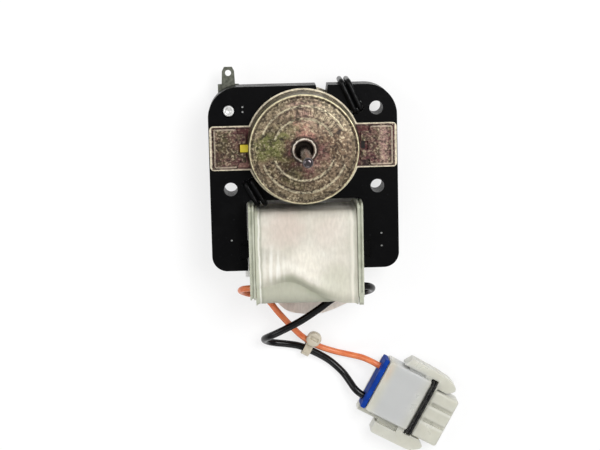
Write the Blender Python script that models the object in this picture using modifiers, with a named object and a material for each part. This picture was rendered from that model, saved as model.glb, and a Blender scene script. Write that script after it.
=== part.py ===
"""Shaded-pole evaporator fan motor, lying on its rear cap with the shaft pointing up.

Metres, +Z up along the shaft, origin on the shaft's axis at the rear cap's outer face. The coil is
towards -Y, the ground spade towards +Y.
"""

import math

import bmesh
import bpy
from mathutils import Matrix, Vector

MM = 0.001

# Clearances
SEAT = 0.25 * MM
RUNNING = 0.05 * MM
AIR_GAP = 0.4 * MM
WINDOW_PLAY = 0.5 * MM
ROUND_STEPS = 48

# Bearing caps and rotor, which set the lamination's middle
STACK_WIDTH = 61.0 * MM
CAP_TOP_RADIUS = 0.287 * STACK_WIDTH
CAP_FLARE = 0.8 * MM
CAP_FOOT_RADIUS = CAP_TOP_RADIUS + CAP_FLARE
CAP_SHEET = 0.9 * MM
FRONT_CAP_HEIGHT = 8.6 * MM
DOME_RISE = 1.0 * MM
HUB_RADIUS = 4.0 * MM
HUB_LIP_RADIUS = 3.0 * MM
HUB_HOLE_RADIUS = 2.7 * MM
HUB_RISE = 1.1 * MM
RIM_WIDTH = 0.75 * MM
RIM_GROOVE_DEPTH = 0.55 * MM
RIM_SHOULDER = 1.5 * MM
REAR_CORNER = 2.6 * MM
ROTOR_RADIUS = CAP_TOP_RADIUS - 5.6 * MM
ROTOR_SLOTS = 14
ROTOR_SLOT_RADIUS = 1.15 * MM
ROTOR_SLOT_CIRCLE = ROTOR_RADIUS - 1.8 * MM
END_RING_HEIGHT = 2.1 * MM
END_RING_INNER = ROTOR_RADIUS - 4.3 * MM
BORE_RADIUS = ROTOR_RADIUS + AIR_GAP
SHAFT_RADIUS = 1.5875 * MM
SHAFT_TIP = 68.0 * MM
SHAFT_TIP_ROUND = 1.1 * MM

# Lamination stack
STACK_TOP = CAP_FOOT_RADIUS + 1.3 * MM
STACK_REAR = 9.0 * MM
STACK_DEPTH = 12.0 * MM
STACK_FRONT = STACK_REAR + STACK_DEPTH
STACK_MIDDLE = STACK_REAR + STACK_DEPTH / 2
TOP_CORNER = 10.0 * MM
FOOT_CORNER = 5.0 * MM
LEG_WIDTH = 0.19 * STACK_WIDTH
WINDOW_WIDTH = STACK_WIDTH - 2 * LEG_WIDTH
WINDOW_TOP = MM - CAP_FOOT_RADIUS
WINDOW_HEIGHT = 23.1 * MM
WINDOW_CORNER = 1.5 * MM
STACK_BOTTOM = WINDOW_TOP - WINDOW_HEIGHT
NOTCH_OFFSET = 6.4 * MM
NOTCH_WIDTH = 3.8 * MM
NOTCH_TAPER = 0.7 * MM
NOTCH_FLOOR = BORE_RADIUS + 1.3 * MM
MOUNT_EDGE = 0.11 * STACK_WIDTH
MOUNT_X = STACK_WIDTH / 2 - MOUNT_EDGE
MOUNT_PITCH_Y = 25.4 * MM
MOUNT_CENTRE_Y = -0.8 * MM
MOUNT_HOLE_RADIUS = 2.2 * MM
MOUNT_POINTS = [
    (sx * MOUNT_X, MOUNT_CENTRE_Y + sy * MOUNT_PITCH_Y / 2) for sx in (-1, 1) for sy in (-1, 1)
]
GROUND_POINT = MOUNT_POINTS[1]
INTERLOCK_RADIUS = 0.6 * MM
INTERLOCK_DEPTH = 0.5 * MM
# Side, distance in from that side's edge and height of each dimple, in millimetres
INTERLOCKS = (
    (-1, 10.9, 12.8),
    (-1, 10.9, 11.2),
    (1, 12.1, 13.6),
    (1, 12.1, 12.0),
    (-1, 6.2, -30.6),
    (1, 5.9, -29.4),
    (1, 5.9, -33.6),
)

# Coil bar, bobbin and coil
BAR_WIDTH = 12.4 * MM
BAR_CENTRE_Y = STACK_BOTTOM + BAR_WIDTH / 2
TONGUE_LENGTH = 2.2 * MM
TONGUE_ROOT = 3.6 * MM
TONGUE_TIP = 5.0 * MM
TUBE_WALL = 1.2 * MM
FLANGE_THICKNESS = 1.8 * MM
FLANGE_SPAN = WINDOW_WIDTH - 2 * WINDOW_PLAY
FLANGE_TOP = WINDOW_TOP - 0.6 * MM
FLANGE_BOTTOM = BAR_CENTRE_Y - 14.6 * MM
FLANGE_HEIGHT = 2 * STACK_MIDDLE
FLANGE_CORNER = 1.8 * MM
FLANGE_GROOVE_WIDTH = 0.6 * MM
FLANGE_GROOVE_DEPTH = 0.5 * MM
FLANGE_TAB_WIDTH = 1.4 * MM
FLANGE_TAB_HEIGHT = 3.4 * MM
FLANGE_TAB_LENGTH = 2.4 * MM
FLANGE_TAB_INSET = 0.2 * MM
LEAD_NOTCH_DEPTH = 4.2 * MM
LEAD_NOTCH_WIDTH = 3.6 * MM
COIL_HEIGHT = 25.4 * MM
COIL_DEPTH = 25.2 * MM
COIL_CORNER = 2.6 * MM
TAPE_THICKNESS = 0.6 * MM
TAPE_TAIL = 9.0 * MM
TAPE_TAIL_LIFT = 1.1 * MM
TAPE_CURL = 3.8 * MM
TAPE_LIP = 5.2 * MM

# Shading rings
SHADING_WIRE_RADIUS = 0.85 * MM
SHADING_BEND = 1.1 * MM
SHADING_SLOT_RADIUS = SHADING_WIRE_RADIUS + SEAT
SHADING_SLIT_WIDTH = 0.8 * MM
SHADING_PITCH = 2.0 * MM
SHADING_ANGLE = 32.6
SHADING_TURN = 24.8
SHADING_TOP_LEAN = 4.4 * MM
SHADING_WINDOW_LEAN = 4.2 * MM

# Brackets
SHEET = 1.0 * MM
STRAP_SPAN = STACK_WIDTH - 0.6 * MM
STRAP_WIDTH = 14.4 * MM
STRAP_CORNER = 1.4 * MM
BRACKET_DISC_RADIUS = CAP_FOOT_RADIUS + 0.5 * MM
BRACKET_BORE_RADIUS = ROTOR_RADIUS + 1.5 * MM
PAD_INNER = BRACKET_DISC_RADIUS + 2.6 * MM
PAD_OUTER = STRAP_SPAN / 2 - 1.4 * MM
PAD_WIDTH = 12.6 * MM
PAD_RISE = 1.1 * MM
NECK_INNER = BRACKET_DISC_RADIUS - 0.2 * MM
NECK_WIDTH = 9.2 * MM
EMBOSS_WALL = 0.8 * MM
TAB_NOTCH_LENGTH = 2.3 * MM
TAB_NOTCH_WIDTH = 2.9 * MM
STUD_X = (PAD_INNER + PAD_OUTER) / 2
STUD_RADIUS = 1.6 * MM
STUD_LENGTH = 2.4 * MM
CAP_FRONT_FOOT = STACK_FRONT + SEAT + SHEET + SEAT
CAP_REAR_FOOT = STACK_REAR - SEAT - SHEET - SEAT
CAP_FRONT_FACE = CAP_FRONT_FOOT + FRONT_CAP_HEIGHT

# Bearings, retainers and felts
BEARING_SPHERE = 4.9 * MM
BEARING_HALF_LENGTH = 3.2 * MM
RETAINER_RIM_RADIUS = CAP_TOP_RADIUS - CAP_SHEET - 0.4 * MM
RETAINER_WALL = 1.2 * MM
RETAINER_COLLAR = 3.0 * MM
RETAINER_TAB_WIDTH = 2.4 * MM
FELT_INNER = BEARING_SPHERE + SEAT + RETAINER_WALL + 0.45 * MM
FELT_OUTER = RETAINER_RIM_RADIUS - 5.6 * MM
WASHER_RADIUS = 3.4 * MM

# Ground terminal
SPADE_SHEET = 0.8 * MM
SPADE_WIDTH = 4.0 * MM
SPADE_TOP = STACK_TOP + 5.8 * MM
SPADE_SHOULDER_Y = STACK_TOP + 0.2 * MM
SPADE_SHOULDER_WIDTH = 6.9 * MM
SPADE_HOLE_Y = SPADE_TOP - 2.0 * MM
SPADE_HOLE_RADIUS = 1.0 * MM
SPADE_TIP = 0.7 * MM
EYE_RADIUS = 4.0 * MM
RIVET_RADIUS = 1.8 * MM
RIVET_HEAD_RADIUS = 3.1 * MM
RIVET_HEAD_HEIGHT = 0.8 * MM

# Leads, tie and connector
ORANGE_LEAD_RADIUS = 1.05 * MM
BLACK_LEAD_RADIUS = 1.22 * MM
TIE_CENTRE = (0.9, -70.27, 2.4)
TIE_TURN = -29.0
TIE_WIDTH = 2.6 * MM
TIE_BAND = 0.8 * MM
TIE_HEAD = (4.9 * MM, 5.0 * MM, 3.0 * MM)
TIE_HEAD_START = 0.9 * MM
TIE_HEAD_ROUND = 2.2 * MM
LEAD_SPACING = 2.65 * MM
PLUG_CENTRE = (22.5, -82.0, 0.0)
PLUG_TURN = -29.0
PLUG_HEIGHT = 10.0 * MM
PLUG_AXIS_HEIGHT = 5.5 * MM
PLUG_BODY_END = 17.4 * MM
PLUG_LENGTH = 28.8 * MM
CAVITY_PITCH = 5.85 * MM
CAVITY_CENTRE = -0.7 * MM
CAVITY_RADIUS = 1.65 * MM
# Sides of the connector's pieces, from its middle way
PLUG_UPPER = 11.0 * MM
PLUG_LOWER = 9.1 * MM
PLUG_LEDGE = 10.8 * MM
PLUG_LEDGE_HEIGHT = 6.0 * MM
TOWER_UPPER = 7.7 * MM
TOWER_LOWER = 9.5 * MM
NECK_HALF = 8.3 * MM
LATCH_SLOT = 0.7 * MM
LATCH_START = 6.8 * MM
LATCH_BRIDGE = 14.8 * MM
LATCH_END = 25.4 * MM
LATCH_LEVELS = (2.2 * MM, 8.8 * MM)
SEAL_THICKNESS = 2.6 * MM
GASKET_THICKNESS = 1.7 * MM
GASKET_OVERHANG = 0.5 * MM
GASKET_HALF = 10.5 * MM
CONTACT_RADIUS = 1.35 * MM
CONTACT_BORE = 0.8 * MM

# The flange corner, in millimetres, from which the routes, the tie and the plug were measured
ROUTE_CORNER = (18.4, -48.8)
ROUTE_FADE = 10

# Points in millimetres along each lead, from the coil to the connector
ORANGE_ROUTE = (
    (-16.75, -46.25, 20.95),
    (-18.4, -46.3, 20.7),
    (-20.6, -46.8, 19.0),
    (-21.6, -47.8, 16.2),
    (-21.0, -48.9, 13.2),
    (-19.2, -50.0, 11.0),
    (-16.6, -50.7, 10.0),
    (-14.0, -51.7, 9.8),
    (-12.0, -53.4, 9.6),
    (-9.8, -56.5, 8.8),
    (-7.2, -59.9, 7.2),
    (-4.6, -63.2, 5.2),
    (-1.8, -66.4, 3.4),
    (1.5, -69.1, 2.4),
    (5.0, -71.1, 1.6),
    (9.8, -72.9, 1.1),
    (14.6, -74.0, 1.7),
    (18.8, -74.7, 3.6),
    (21.9, -75.8, 5.2),
    (23.9, -76.9, 5.5),
    (28.06, -79.19, 5.5),
)
BLACK_ROUTE = (
    (16.75, -46.4, 21.5),
    (18.1, -46.4, 21.4),
    (20.4, -46.9, 19.9),
    (21.7, -48.1, 16.9),
    (20.9, -49.5, 13.7),
    (18.6, -50.4, 11.9),
    (15.6, -50.8, 11.4),
    (12.4, -51.1, 11.7),
    (8.8, -52.5, 11.8),
    (4.0, -55.9, 11.8),
    (-2.1, -59.8, 11.6),
    (-8.9, -63.2, 11.4),
    (-12.3, -65.0, 9.9),
    (-14.1, -66.6, 6.5),
    (-13.5, -68.0, 3.6),
    (-10.9, -69.1, 1.7),
    (-6.3, -69.8, 1.3),
    (-2.6, -70.4, 1.8),
    (0.3, -71.45, 2.4),
    (4.2, -73.5, 1.9),
    (8.3, -76.3, 1.4),
    (12.2, -80.0, 1.9),
    (14.5, -83.0, 3.5),
    (16.1, -85.2, 4.9),
    (18.2, -87.05, 5.5),
    (22.38, -89.43, 5.5),
)


def clear_scene():
    for obj in list(bpy.data.objects):
        bpy.data.objects.remove(obj, do_unlink=True)


def collection(name):
    made = bpy.data.collections.new(name)
    bpy.context.scene.collection.children.link(made)
    return made


def material(name, color, roughness, metallic=0.0, alpha=1.0):
    made = bpy.data.materials.new(name)
    made.use_nodes = True
    shader = made.node_tree.nodes["Principled BSDF"]
    shader.inputs["Base Color"].default_value = (*color, 1.0)
    shader.inputs["Roughness"].default_value = roughness
    shader.inputs["Metallic"].default_value = metallic
    shader.inputs["Alpha"].default_value = alpha
    return made


def add_object(name, data, into, look=None):
    obj = bpy.data.objects.new(name, data)
    into.objects.link(obj)
    if look:
        data.materials.append(look)
    return obj


def mesh_object(name, bm, into, look=None):
    bmesh.ops.recalc_face_normals(bm, faces=bm.faces)
    mesh = bpy.data.meshes.new(name)
    bm.to_mesh(mesh)
    bm.free()
    return add_object(name, mesh, into, look)


def arc(cx, cy, radius, start, end, steps):
    """Points of an arc, angles in degrees."""
    angles = [math.radians(start + (end - start) * i / steps) for i in range(steps + 1)]
    return [(cx + radius * math.cos(a), cy + radius * math.sin(a)) for a in angles]


def circle(cx, cy, radius, steps):
    return arc(cx, cy, radius, 0, 360 - 360 / steps, steps - 1)


def rounded_box(x0, y0, x1, y1, radius, steps=4):
    """A rectangle's outline with round corners, counter-clockwise."""
    return (
        arc(x1 - radius, y0 + radius, radius, -90, 0, steps)
        + arc(x1 - radius, y1 - radius, radius, 0, 90, steps)
        + arc(x0 + radius, y1 - radius, radius, 90, 180, steps)
        + arc(x0 + radius, y0 + radius, radius, 180, 270, steps)
    )


def plate(name, loops, low, high, into, look=None):
    """A flat outline with holes, filled and extruded from level low to level high."""
    curve = bpy.data.curves.new(name, "CURVE")
    curve.dimensions = "2D"
    curve.fill_mode = "BOTH"
    curve.extrude = (high - low) / 2
    for loop in loops:
        spline = curve.splines.new("POLY")
        spline.points.add(len(loop) - 1)
        for point, (x, y) in zip(spline.points, loop):
            point.co = (x, y, 0.0, 1.0)
        spline.use_cyclic_u = True
    guide = add_object(name + "_outline", curve, into)
    guide.location.z = (low + high) / 2
    bpy.context.view_layer.update()
    graph = bpy.context.evaluated_depsgraph_get()
    mesh = bpy.data.meshes.new_from_object(guide.evaluated_get(graph))
    mesh.transform(guide.matrix_world)
    bpy.data.objects.remove(guide, do_unlink=True)
    bpy.data.curves.remove(curve)
    bm = bmesh.new()
    bm.from_mesh(mesh)
    bpy.data.meshes.remove(mesh)
    bmesh.ops.remove_doubles(bm, verts=bm.verts, dist=1e-6)
    return mesh_object(name, bm, into, look)


def box(name, low, high, into, look=None, bevel=0.0):
    bm = bmesh.new()
    size = [b - a for a, b in zip(low, high)]
    centre = [(a + b) / 2 for a, b in zip(low, high)]
    bmesh.ops.create_cube(bm, size=1.0)
    bmesh.ops.scale(bm, vec=size, verts=bm.verts)
    if bevel:
        bmesh.ops.bevel(
            bm, geom=bm.edges[:], offset=bevel, segments=2, profile=0.5, affect="EDGES", material=-1
        )
    bmesh.ops.translate(bm, vec=centre, verts=bm.verts)
    return mesh_object(name, bm, into, look)


def rods(name, centres, radius, low, high, into, steps=16, look=None):
    """Upright round bars at several centres, in one mesh."""
    bm = bmesh.new()
    for x, y in centres:
        place = Matrix.Translation((x, y, (low + high) / 2))
        bmesh.ops.create_cone(
            bm,
            cap_ends=True,
            segments=steps,
            radius1=radius,
            radius2=radius,
            depth=high - low,
            matrix=place,
        )
    return mesh_object(name, bm, into, look)


def turned(name, profile, into, look=None, closed=True, steps=ROUND_STEPS):
    """A profile of (radius, level) points turned round the Z axis. It runs down its outer side."""
    mesh = bpy.data.meshes.new(name)
    edges = [(i, i + 1) for i in range(len(profile) - 1)]
    if closed:
        edges.append((len(profile) - 1, 0))
    mesh.from_pydata([(r, 0.0, z) for r, z in profile], edges, [])
    obj = add_object(name, mesh, into, look)
    screw = obj.modifiers.new("Turn", "SCREW")
    screw.steps = steps
    screw.render_steps = steps
    screw.use_merge_vertices = True
    screw.merge_threshold = 1e-6
    screw.use_smooth_shade = True
    return obj


def as_cutter(obj):
    for holder in list(obj.users_collection):
        holder.objects.unlink(obj)
    cutters.objects.link(obj)
    obj.hide_render = True
    obj.display_type = "WIRE"
    return obj


def boolean(obj, other, operation):
    modifier = obj.modifiers.new(operation.title(), "BOOLEAN")
    modifier.operation = operation
    modifier.object = as_cutter(other)
    return obj


def cut(obj, *others):
    for other in others:
        boolean(obj, other, "DIFFERENCE")
    return obj


def join(obj, *others):
    for other in others:
        boolean(obj, other, "UNION")
    return obj


def along_x(obj):
    """Turns an upright plate so that its height runs along X, its outline's X along Y and its Y along Z."""
    obj.data.transform(Matrix(((0, 0, 1, 0), (1, 0, 0, 0), (0, 1, 0, 0), (0, 0, 0, 1))))
    return obj


def flipped(obj):
    """Mirrors a mesh made for the front face to the rear face, about the stack's middle."""
    bm = bmesh.new()
    bm.from_mesh(obj.data)
    bmesh.ops.scale(bm, vec=(1, 1, -1), verts=bm.verts)
    bmesh.ops.translate(bm, vec=(0, 0, 2 * STACK_MIDDLE), verts=bm.verts)
    bmesh.ops.recalc_face_normals(bm, faces=bm.faces)
    bm.to_mesh(obj.data)
    bm.free()
    return obj


def stack_outline():
    """The C-shaped outline, counter-clockwise from the left foot's inner corner."""
    half = STACK_WIDTH / 2
    inner = WINDOW_WIDTH / 2
    bar_y = BAR_CENTRE_Y
    root = TONGUE_ROOT / 2 + SEAT
    tip = TONGUE_TIP / 2 + SEAT
    depth = TONGUE_LENGTH
    notch_low = NOTCH_WIDTH / 2 - NOTCH_TAPER
    corner = WINDOW_CORNER

    def groove(side, upwards):
        points = [(side * inner, bar_y - root), (side * (inner + depth), bar_y - tip)]
        points += [(side * (inner + depth), bar_y + tip), (side * inner, bar_y + root)]
        return points if upwards else points[::-1]

    points = arc(-half + FOOT_CORNER, STACK_BOTTOM + FOOT_CORNER, FOOT_CORNER, 270, 180, 8)
    points += arc(-half + TOP_CORNER, STACK_TOP - TOP_CORNER, TOP_CORNER, 180, 90, 12)
    points += [
        (NOTCH_OFFSET - NOTCH_WIDTH / 2, STACK_TOP),
        (NOTCH_OFFSET - notch_low, NOTCH_FLOOR),
        (NOTCH_OFFSET + notch_low, NOTCH_FLOOR),
        (NOTCH_OFFSET + NOTCH_WIDTH / 2, STACK_TOP),
    ]
    points += arc(half - TOP_CORNER, STACK_TOP - TOP_CORNER, TOP_CORNER, 90, 0, 12)
    points += arc(half - FOOT_CORNER, STACK_BOTTOM + FOOT_CORNER, FOOT_CORNER, 0, -90, 8)
    points.append((inner, STACK_BOTTOM))
    points += groove(1, True)
    points += arc(inner - corner, WINDOW_TOP - corner, corner, 0, 90, 3)
    points += [
        (-NOTCH_OFFSET + NOTCH_WIDTH / 2, WINDOW_TOP),
        (-NOTCH_OFFSET + notch_low, -NOTCH_FLOOR),
        (-NOTCH_OFFSET - notch_low, -NOTCH_FLOOR),
        (-NOTCH_OFFSET - NOTCH_WIDTH / 2, WINDOW_TOP),
    ]
    points += arc(-inner + corner, WINDOW_TOP - corner, corner, 90, 180, 3)
    points += groove(-1, False)
    points.append((-inner, STACK_BOTTOM))
    return points


def shading_centres():
    """(slot centre, outer leg's centre) of each shading ring: two by the top edge, two by the window."""
    reach = SEAT + SHADING_WIRE_RADIUS
    aim = math.radians(SHADING_ANGLE)
    first = BRACKET_DISC_RADIUS + 1.6 * SHADING_WIRE_RADIUS
    slot_a = Vector((first * math.cos(aim), first * math.sin(aim)))
    turn = math.radians(SHADING_TURN)
    slot_b = slot_a + SHADING_PITCH * Vector((math.cos(turn), math.sin(turn)))
    step = SHADING_PITCH / math.cos(turn)
    top_leg = slot_a.x - SHADING_TOP_LEAN
    window_leg = SHADING_WINDOW_LEAN - slot_a.x
    upper = [
        (tuple(slot), (top_leg + step * i, STACK_TOP + reach)) for i, slot in enumerate((slot_a, slot_b))
    ]
    lower = [
        ((-slot.x, -slot.y), (window_leg - 1.25 * SHADING_PITCH * i, WINDOW_TOP - reach))
        for i, slot in enumerate((slot_a, slot_b))
    ]
    return upper, lower


def build_stack():
    loops = [stack_outline(), circle(0, 0, BORE_RADIUS, ROUND_STEPS)]
    loops += [circle(x, y, MOUNT_HOLE_RADIUS, 16) for x, y in MOUNT_POINTS]
    loops += [circle(side * STUD_X, 0, STUD_RADIUS + SEAT, 12) for side in (-1, 1)]
    core = plate("stator_core", loops, STACK_REAR, STACK_FRONT, parts, looks["lacquer"])
    slots = [slot for pair in shading_centres() for slot, _ in pair]
    low = STACK_REAR - MM
    high = STACK_FRONT + MM
    for number, slot in enumerate(slots):
        cut(core, rods(f"shading_slot_{number}", [slot], SHADING_SLOT_RADIUS, low, high, parts))
    for number, angle in enumerate((0, 180)):
        first, second = (Vector(slots[2 * number]), Vector(slots[2 * number + 1]))
        middle = (first + second) / 2
        aim = math.atan2(middle.y, middle.x)
        reach = middle.length
        bridge = (second - first).length / 2
        slit = box(
            f"shading_slit_{number}",
            (BORE_RADIUS - MM, -SHADING_SLIT_WIDTH / 2, low),
            (reach, SHADING_SLIT_WIDTH / 2, high),
            parts,
        )
        slit.data.transform(Matrix.Rotation(aim, 4, "Z"))
        link = box(
            f"shading_link_{number}",
            (-bridge, -SHADING_SLIT_WIDTH / 2, low),
            (bridge, SHADING_SLIT_WIDTH / 2, high),
            parts,
        )
        across = (second - first).normalized()
        link.data.transform(
            Matrix.Translation((middle.x, middle.y, 0))
            @ Matrix.Rotation(math.atan2(across.y, across.x), 4, "Z")
        )
        cut(core, slit, link)
    half = STACK_WIDTH / 2
    dimples = [(side * (half - inward * MM), y * MM) for side, inward, y in INTERLOCKS]
    cut(
        core,
        rods("interlocks", dimples, INTERLOCK_RADIUS, STACK_FRONT - INTERLOCK_DEPTH, high, parts, 8),
    )
    return core


def build_bar():
    inner = WINDOW_WIDTH / 2 - SEAT
    tip = inner + TONGUE_LENGTH
    y = BAR_CENTRE_Y
    half = BAR_WIDTH / 2
    right = [
        (inner, y - half),
        (inner, y - TONGUE_ROOT / 2),
        (tip, y - TONGUE_TIP / 2),
        (tip, y + TONGUE_TIP / 2),
        (inner, y + TONGUE_ROOT / 2),
        (inner, y + half),
    ]
    left = [(-px, py) for px, py in reversed(right)]
    return plate("coil_bar", [right + left], STACK_REAR, STACK_FRONT, parts, looks["lacquer"])


def tube_box(grow):
    """Half-sizes across Y and Z of the bobbin's tube bore, grown by a wall."""
    return (BAR_WIDTH / 2 + SEAT + grow, STACK_DEPTH / 2 + SEAT + grow)


def build_bobbin():
    inner_face = FLANGE_SPAN / 2 - FLANGE_THICKNESS
    outer_face = FLANGE_SPAN / 2
    wall_y, wall_z = tube_box(TUBE_WALL)
    bore_y, bore_z = tube_box(0)
    outline = rounded_box(FLANGE_BOTTOM, 0, FLANGE_TOP, FLANGE_HEIGHT, FLANGE_CORNER)
    groove = FLANGE_GROOVE_DEPTH
    inset = rounded_box(
        FLANGE_BOTTOM + groove,
        groove,
        FLANGE_TOP - groove,
        FLANGE_HEIGHT - groove,
        FLANGE_CORNER - groove,
    )
    around = rounded_box(FLANGE_BOTTOM - MM, -MM, FLANGE_TOP + MM, FLANGE_HEIGHT + MM, MM)
    tube = box(
        "bobbin",
        (-inner_face - MM, BAR_CENTRE_Y - wall_y, STACK_MIDDLE - wall_z),
        (inner_face + MM, BAR_CENTRE_Y + wall_y, STACK_MIDDLE + wall_z),
        parts,
        looks["bobbin"],
    )
    for side, label in ((-1, "left"), (1, "right")):
        ends = sorted((side * inner_face, side * outer_face))
        flange = along_x(plate(f"flange_{label}", [outline], ends[0], ends[1], parts))
        middle = (ends[0] + ends[1]) / 2
        width = FLANGE_GROOVE_WIDTH / 2
        channel = plate(f"groove_{label}", [around, inset], middle - width, middle + width, parts)
        join(tube, flange)
        cut(tube, along_x(channel))
    tab_outer = outer_face - FLANGE_TAB_INSET
    tab_ends = (tab_outer - FLANGE_TAB_WIDTH, tab_outer)
    tab_high = FLANGE_HEIGHT - FLANGE_TAB_INSET
    tab_low = tab_high - FLANGE_TAB_HEIGHT
    tip = FLANGE_BOTTOM - FLANGE_TAB_LENGTH
    tab = [
        (FLANGE_BOTTOM + 0.8 * FLANGE_TAB_LENGTH, tab_low),
        (FLANGE_BOTTOM + 0.8 * FLANGE_TAB_LENGTH, tab_high),
        (tip + 0.4 * FLANGE_TAB_LENGTH, tab_high),
        (tip, tab_high - 0.35 * FLANGE_TAB_HEIGHT),
        (tip + 0.25 * FLANGE_TAB_LENGTH, tab_low),
    ]
    join(tube, along_x(plate("flange_tab", [tab], tab_ends[0], tab_ends[1], parts)))
    bore = box(
        "tube_bore",
        (-outer_face - MM, BAR_CENTRE_Y - bore_y, STACK_MIDDLE - bore_z),
        (outer_face + MM, BAR_CENTRE_Y + bore_y, STACK_MIDDLE + bore_z),
        parts,
    )
    cut(tube, bore)
    for side, route in ((-1, ORANGE_ROUTE), (1, BLACK_ROUTE)):
        level = route[1][2] * MM
        ends = sorted((side * (inner_face - MM), side * (outer_face + MM)))
        notch = box(
            f"lead_notch_{'left' if side < 0 else 'right'}",
            (ends[0], FLANGE_BOTTOM - MM, level - LEAD_NOTCH_WIDTH / 2),
            (ends[1], FLANGE_BOTTOM + LEAD_NOTCH_DEPTH, level + LEAD_NOTCH_WIDTH / 2),
            parts,
        )
        cut(tube, notch)
    return tube


def coil_limits():
    """Y and Z limits of the winding."""
    return (
        BAR_CENTRE_Y - COIL_HEIGHT / 2,
        BAR_CENTRE_Y + COIL_HEIGHT / 2,
        STACK_MIDDLE - COIL_DEPTH / 2,
        STACK_MIDDLE + COIL_DEPTH / 2,
    )


def build_winding():
    low_y, high_y, low_z, high_z = coil_limits()
    wall_y, wall_z = tube_box(TUBE_WALL + SEAT)
    half = FLANGE_SPAN / 2 - FLANGE_THICKNESS - SEAT
    outer = rounded_box(low_y, low_z, high_y, high_z, COIL_CORNER)
    inner = rounded_box(
        BAR_CENTRE_Y - wall_y,
        STACK_MIDDLE - wall_z,
        BAR_CENTRE_Y + wall_y,
        STACK_MIDDLE + wall_z,
        0.3 * MM,
        1,
    )
    return along_x(plate("winding", [outer, inner], -half, half, parts, looks["copper"]))


def build_tape():
    """Cloth tape wrapped round the winding, open below where the leads come out, with a loose tail."""
    low_y, high_y, low_z, high_z = coil_limits()
    gap = SEAT
    radius = COIL_CORNER + gap
    half = FLANGE_SPAN / 2 - FLANGE_THICKNESS - SEAT
    bottom = low_y - gap
    top = high_y + gap
    rear = low_z - gap
    front = high_z + gap
    path = [(bottom - TAPE_TAIL, rear + TAPE_TAIL_LIFT), (bottom - TAPE_TAIL / 3, rear + 2 * TAPE_TAIL_LIFT)]
    path += arc(bottom + radius, rear + radius, radius, 225, 270, 3)
    path += arc(top - radius, rear + radius, radius, 270, 360, 4)
    path += arc(top - radius, front - radius, radius, 0, 90, 4)
    path += [(bottom + radius, front)]
    path += arc(bottom + 0.15 * TAPE_CURL, front - TAPE_CURL, TAPE_CURL, 100, 200, 5)
    path += [(bottom - 0.4 * TAPE_CURL, front - TAPE_CURL - TAPE_LIP)]
    outside = offset_path(path, TAPE_THICKNESS)
    return along_x(plate("coil_tape", [path + outside[::-1]], -half, half, parts, looks["tape"]))


def offset_path(path, distance):
    """The path moved to its right-hand side by a distance."""
    moved = []
    for i, (x, y) in enumerate(path):
        before = Vector(path[max(i - 1, 0)])
        after = Vector(path[min(i + 1, len(path) - 1)])
        way = (after - before).normalized()
        moved.append((x + way.y * distance, y - way.x * distance))
    return moved


def tube_curve(name, points, radius, look, cyclic=False, resolution=2):
    curve = bpy.data.curves.new(name, "CURVE")
    curve.dimensions = "3D"
    curve.bevel_depth = radius
    curve.bevel_resolution = resolution
    curve.use_fill_caps = True
    spline = curve.splines.new("POLY")
    spline.points.add(len(points) - 1)
    for point, place in zip(spline.points, points):
        point.co = (*place, 1.0)
    spline.use_cyclic_u = cyclic
    return add_object(name, curve, parts, look)


def build_shading_rings():
    made = []
    reach = SEAT + SHADING_WIRE_RADIUS
    front = STACK_FRONT + reach
    rear = STACK_REAR - reach
    bend = SHADING_BEND
    upper, lower = shading_centres()
    for label, pairs in (("upper", upper), ("lower", lower)):
        for (slot, outer), letter in zip(pairs, "ab"):
            span = (Vector(outer) - Vector(slot)).length
            flat = arc(bend, front - bend, bend, 180, 90, 3) + arc(span - bend, front - bend, bend, 90, 0, 3)
            flat += arc(span - bend, rear + bend, bend, 0, -90, 3)
            flat += arc(bend, rear + bend, bend, -90, -180, 3)
            way = (Vector(outer) - Vector(slot)) / span
            points = [(slot[0] + way.x * s, slot[1] + way.y * s, z) for s, z in flat]
            ring = tube_curve(
                f"shading_ring_{label}_{letter}", points, SHADING_WIRE_RADIUS, looks["copper"], cyclic=True
            )
            made.append(ring)
    return made


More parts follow.
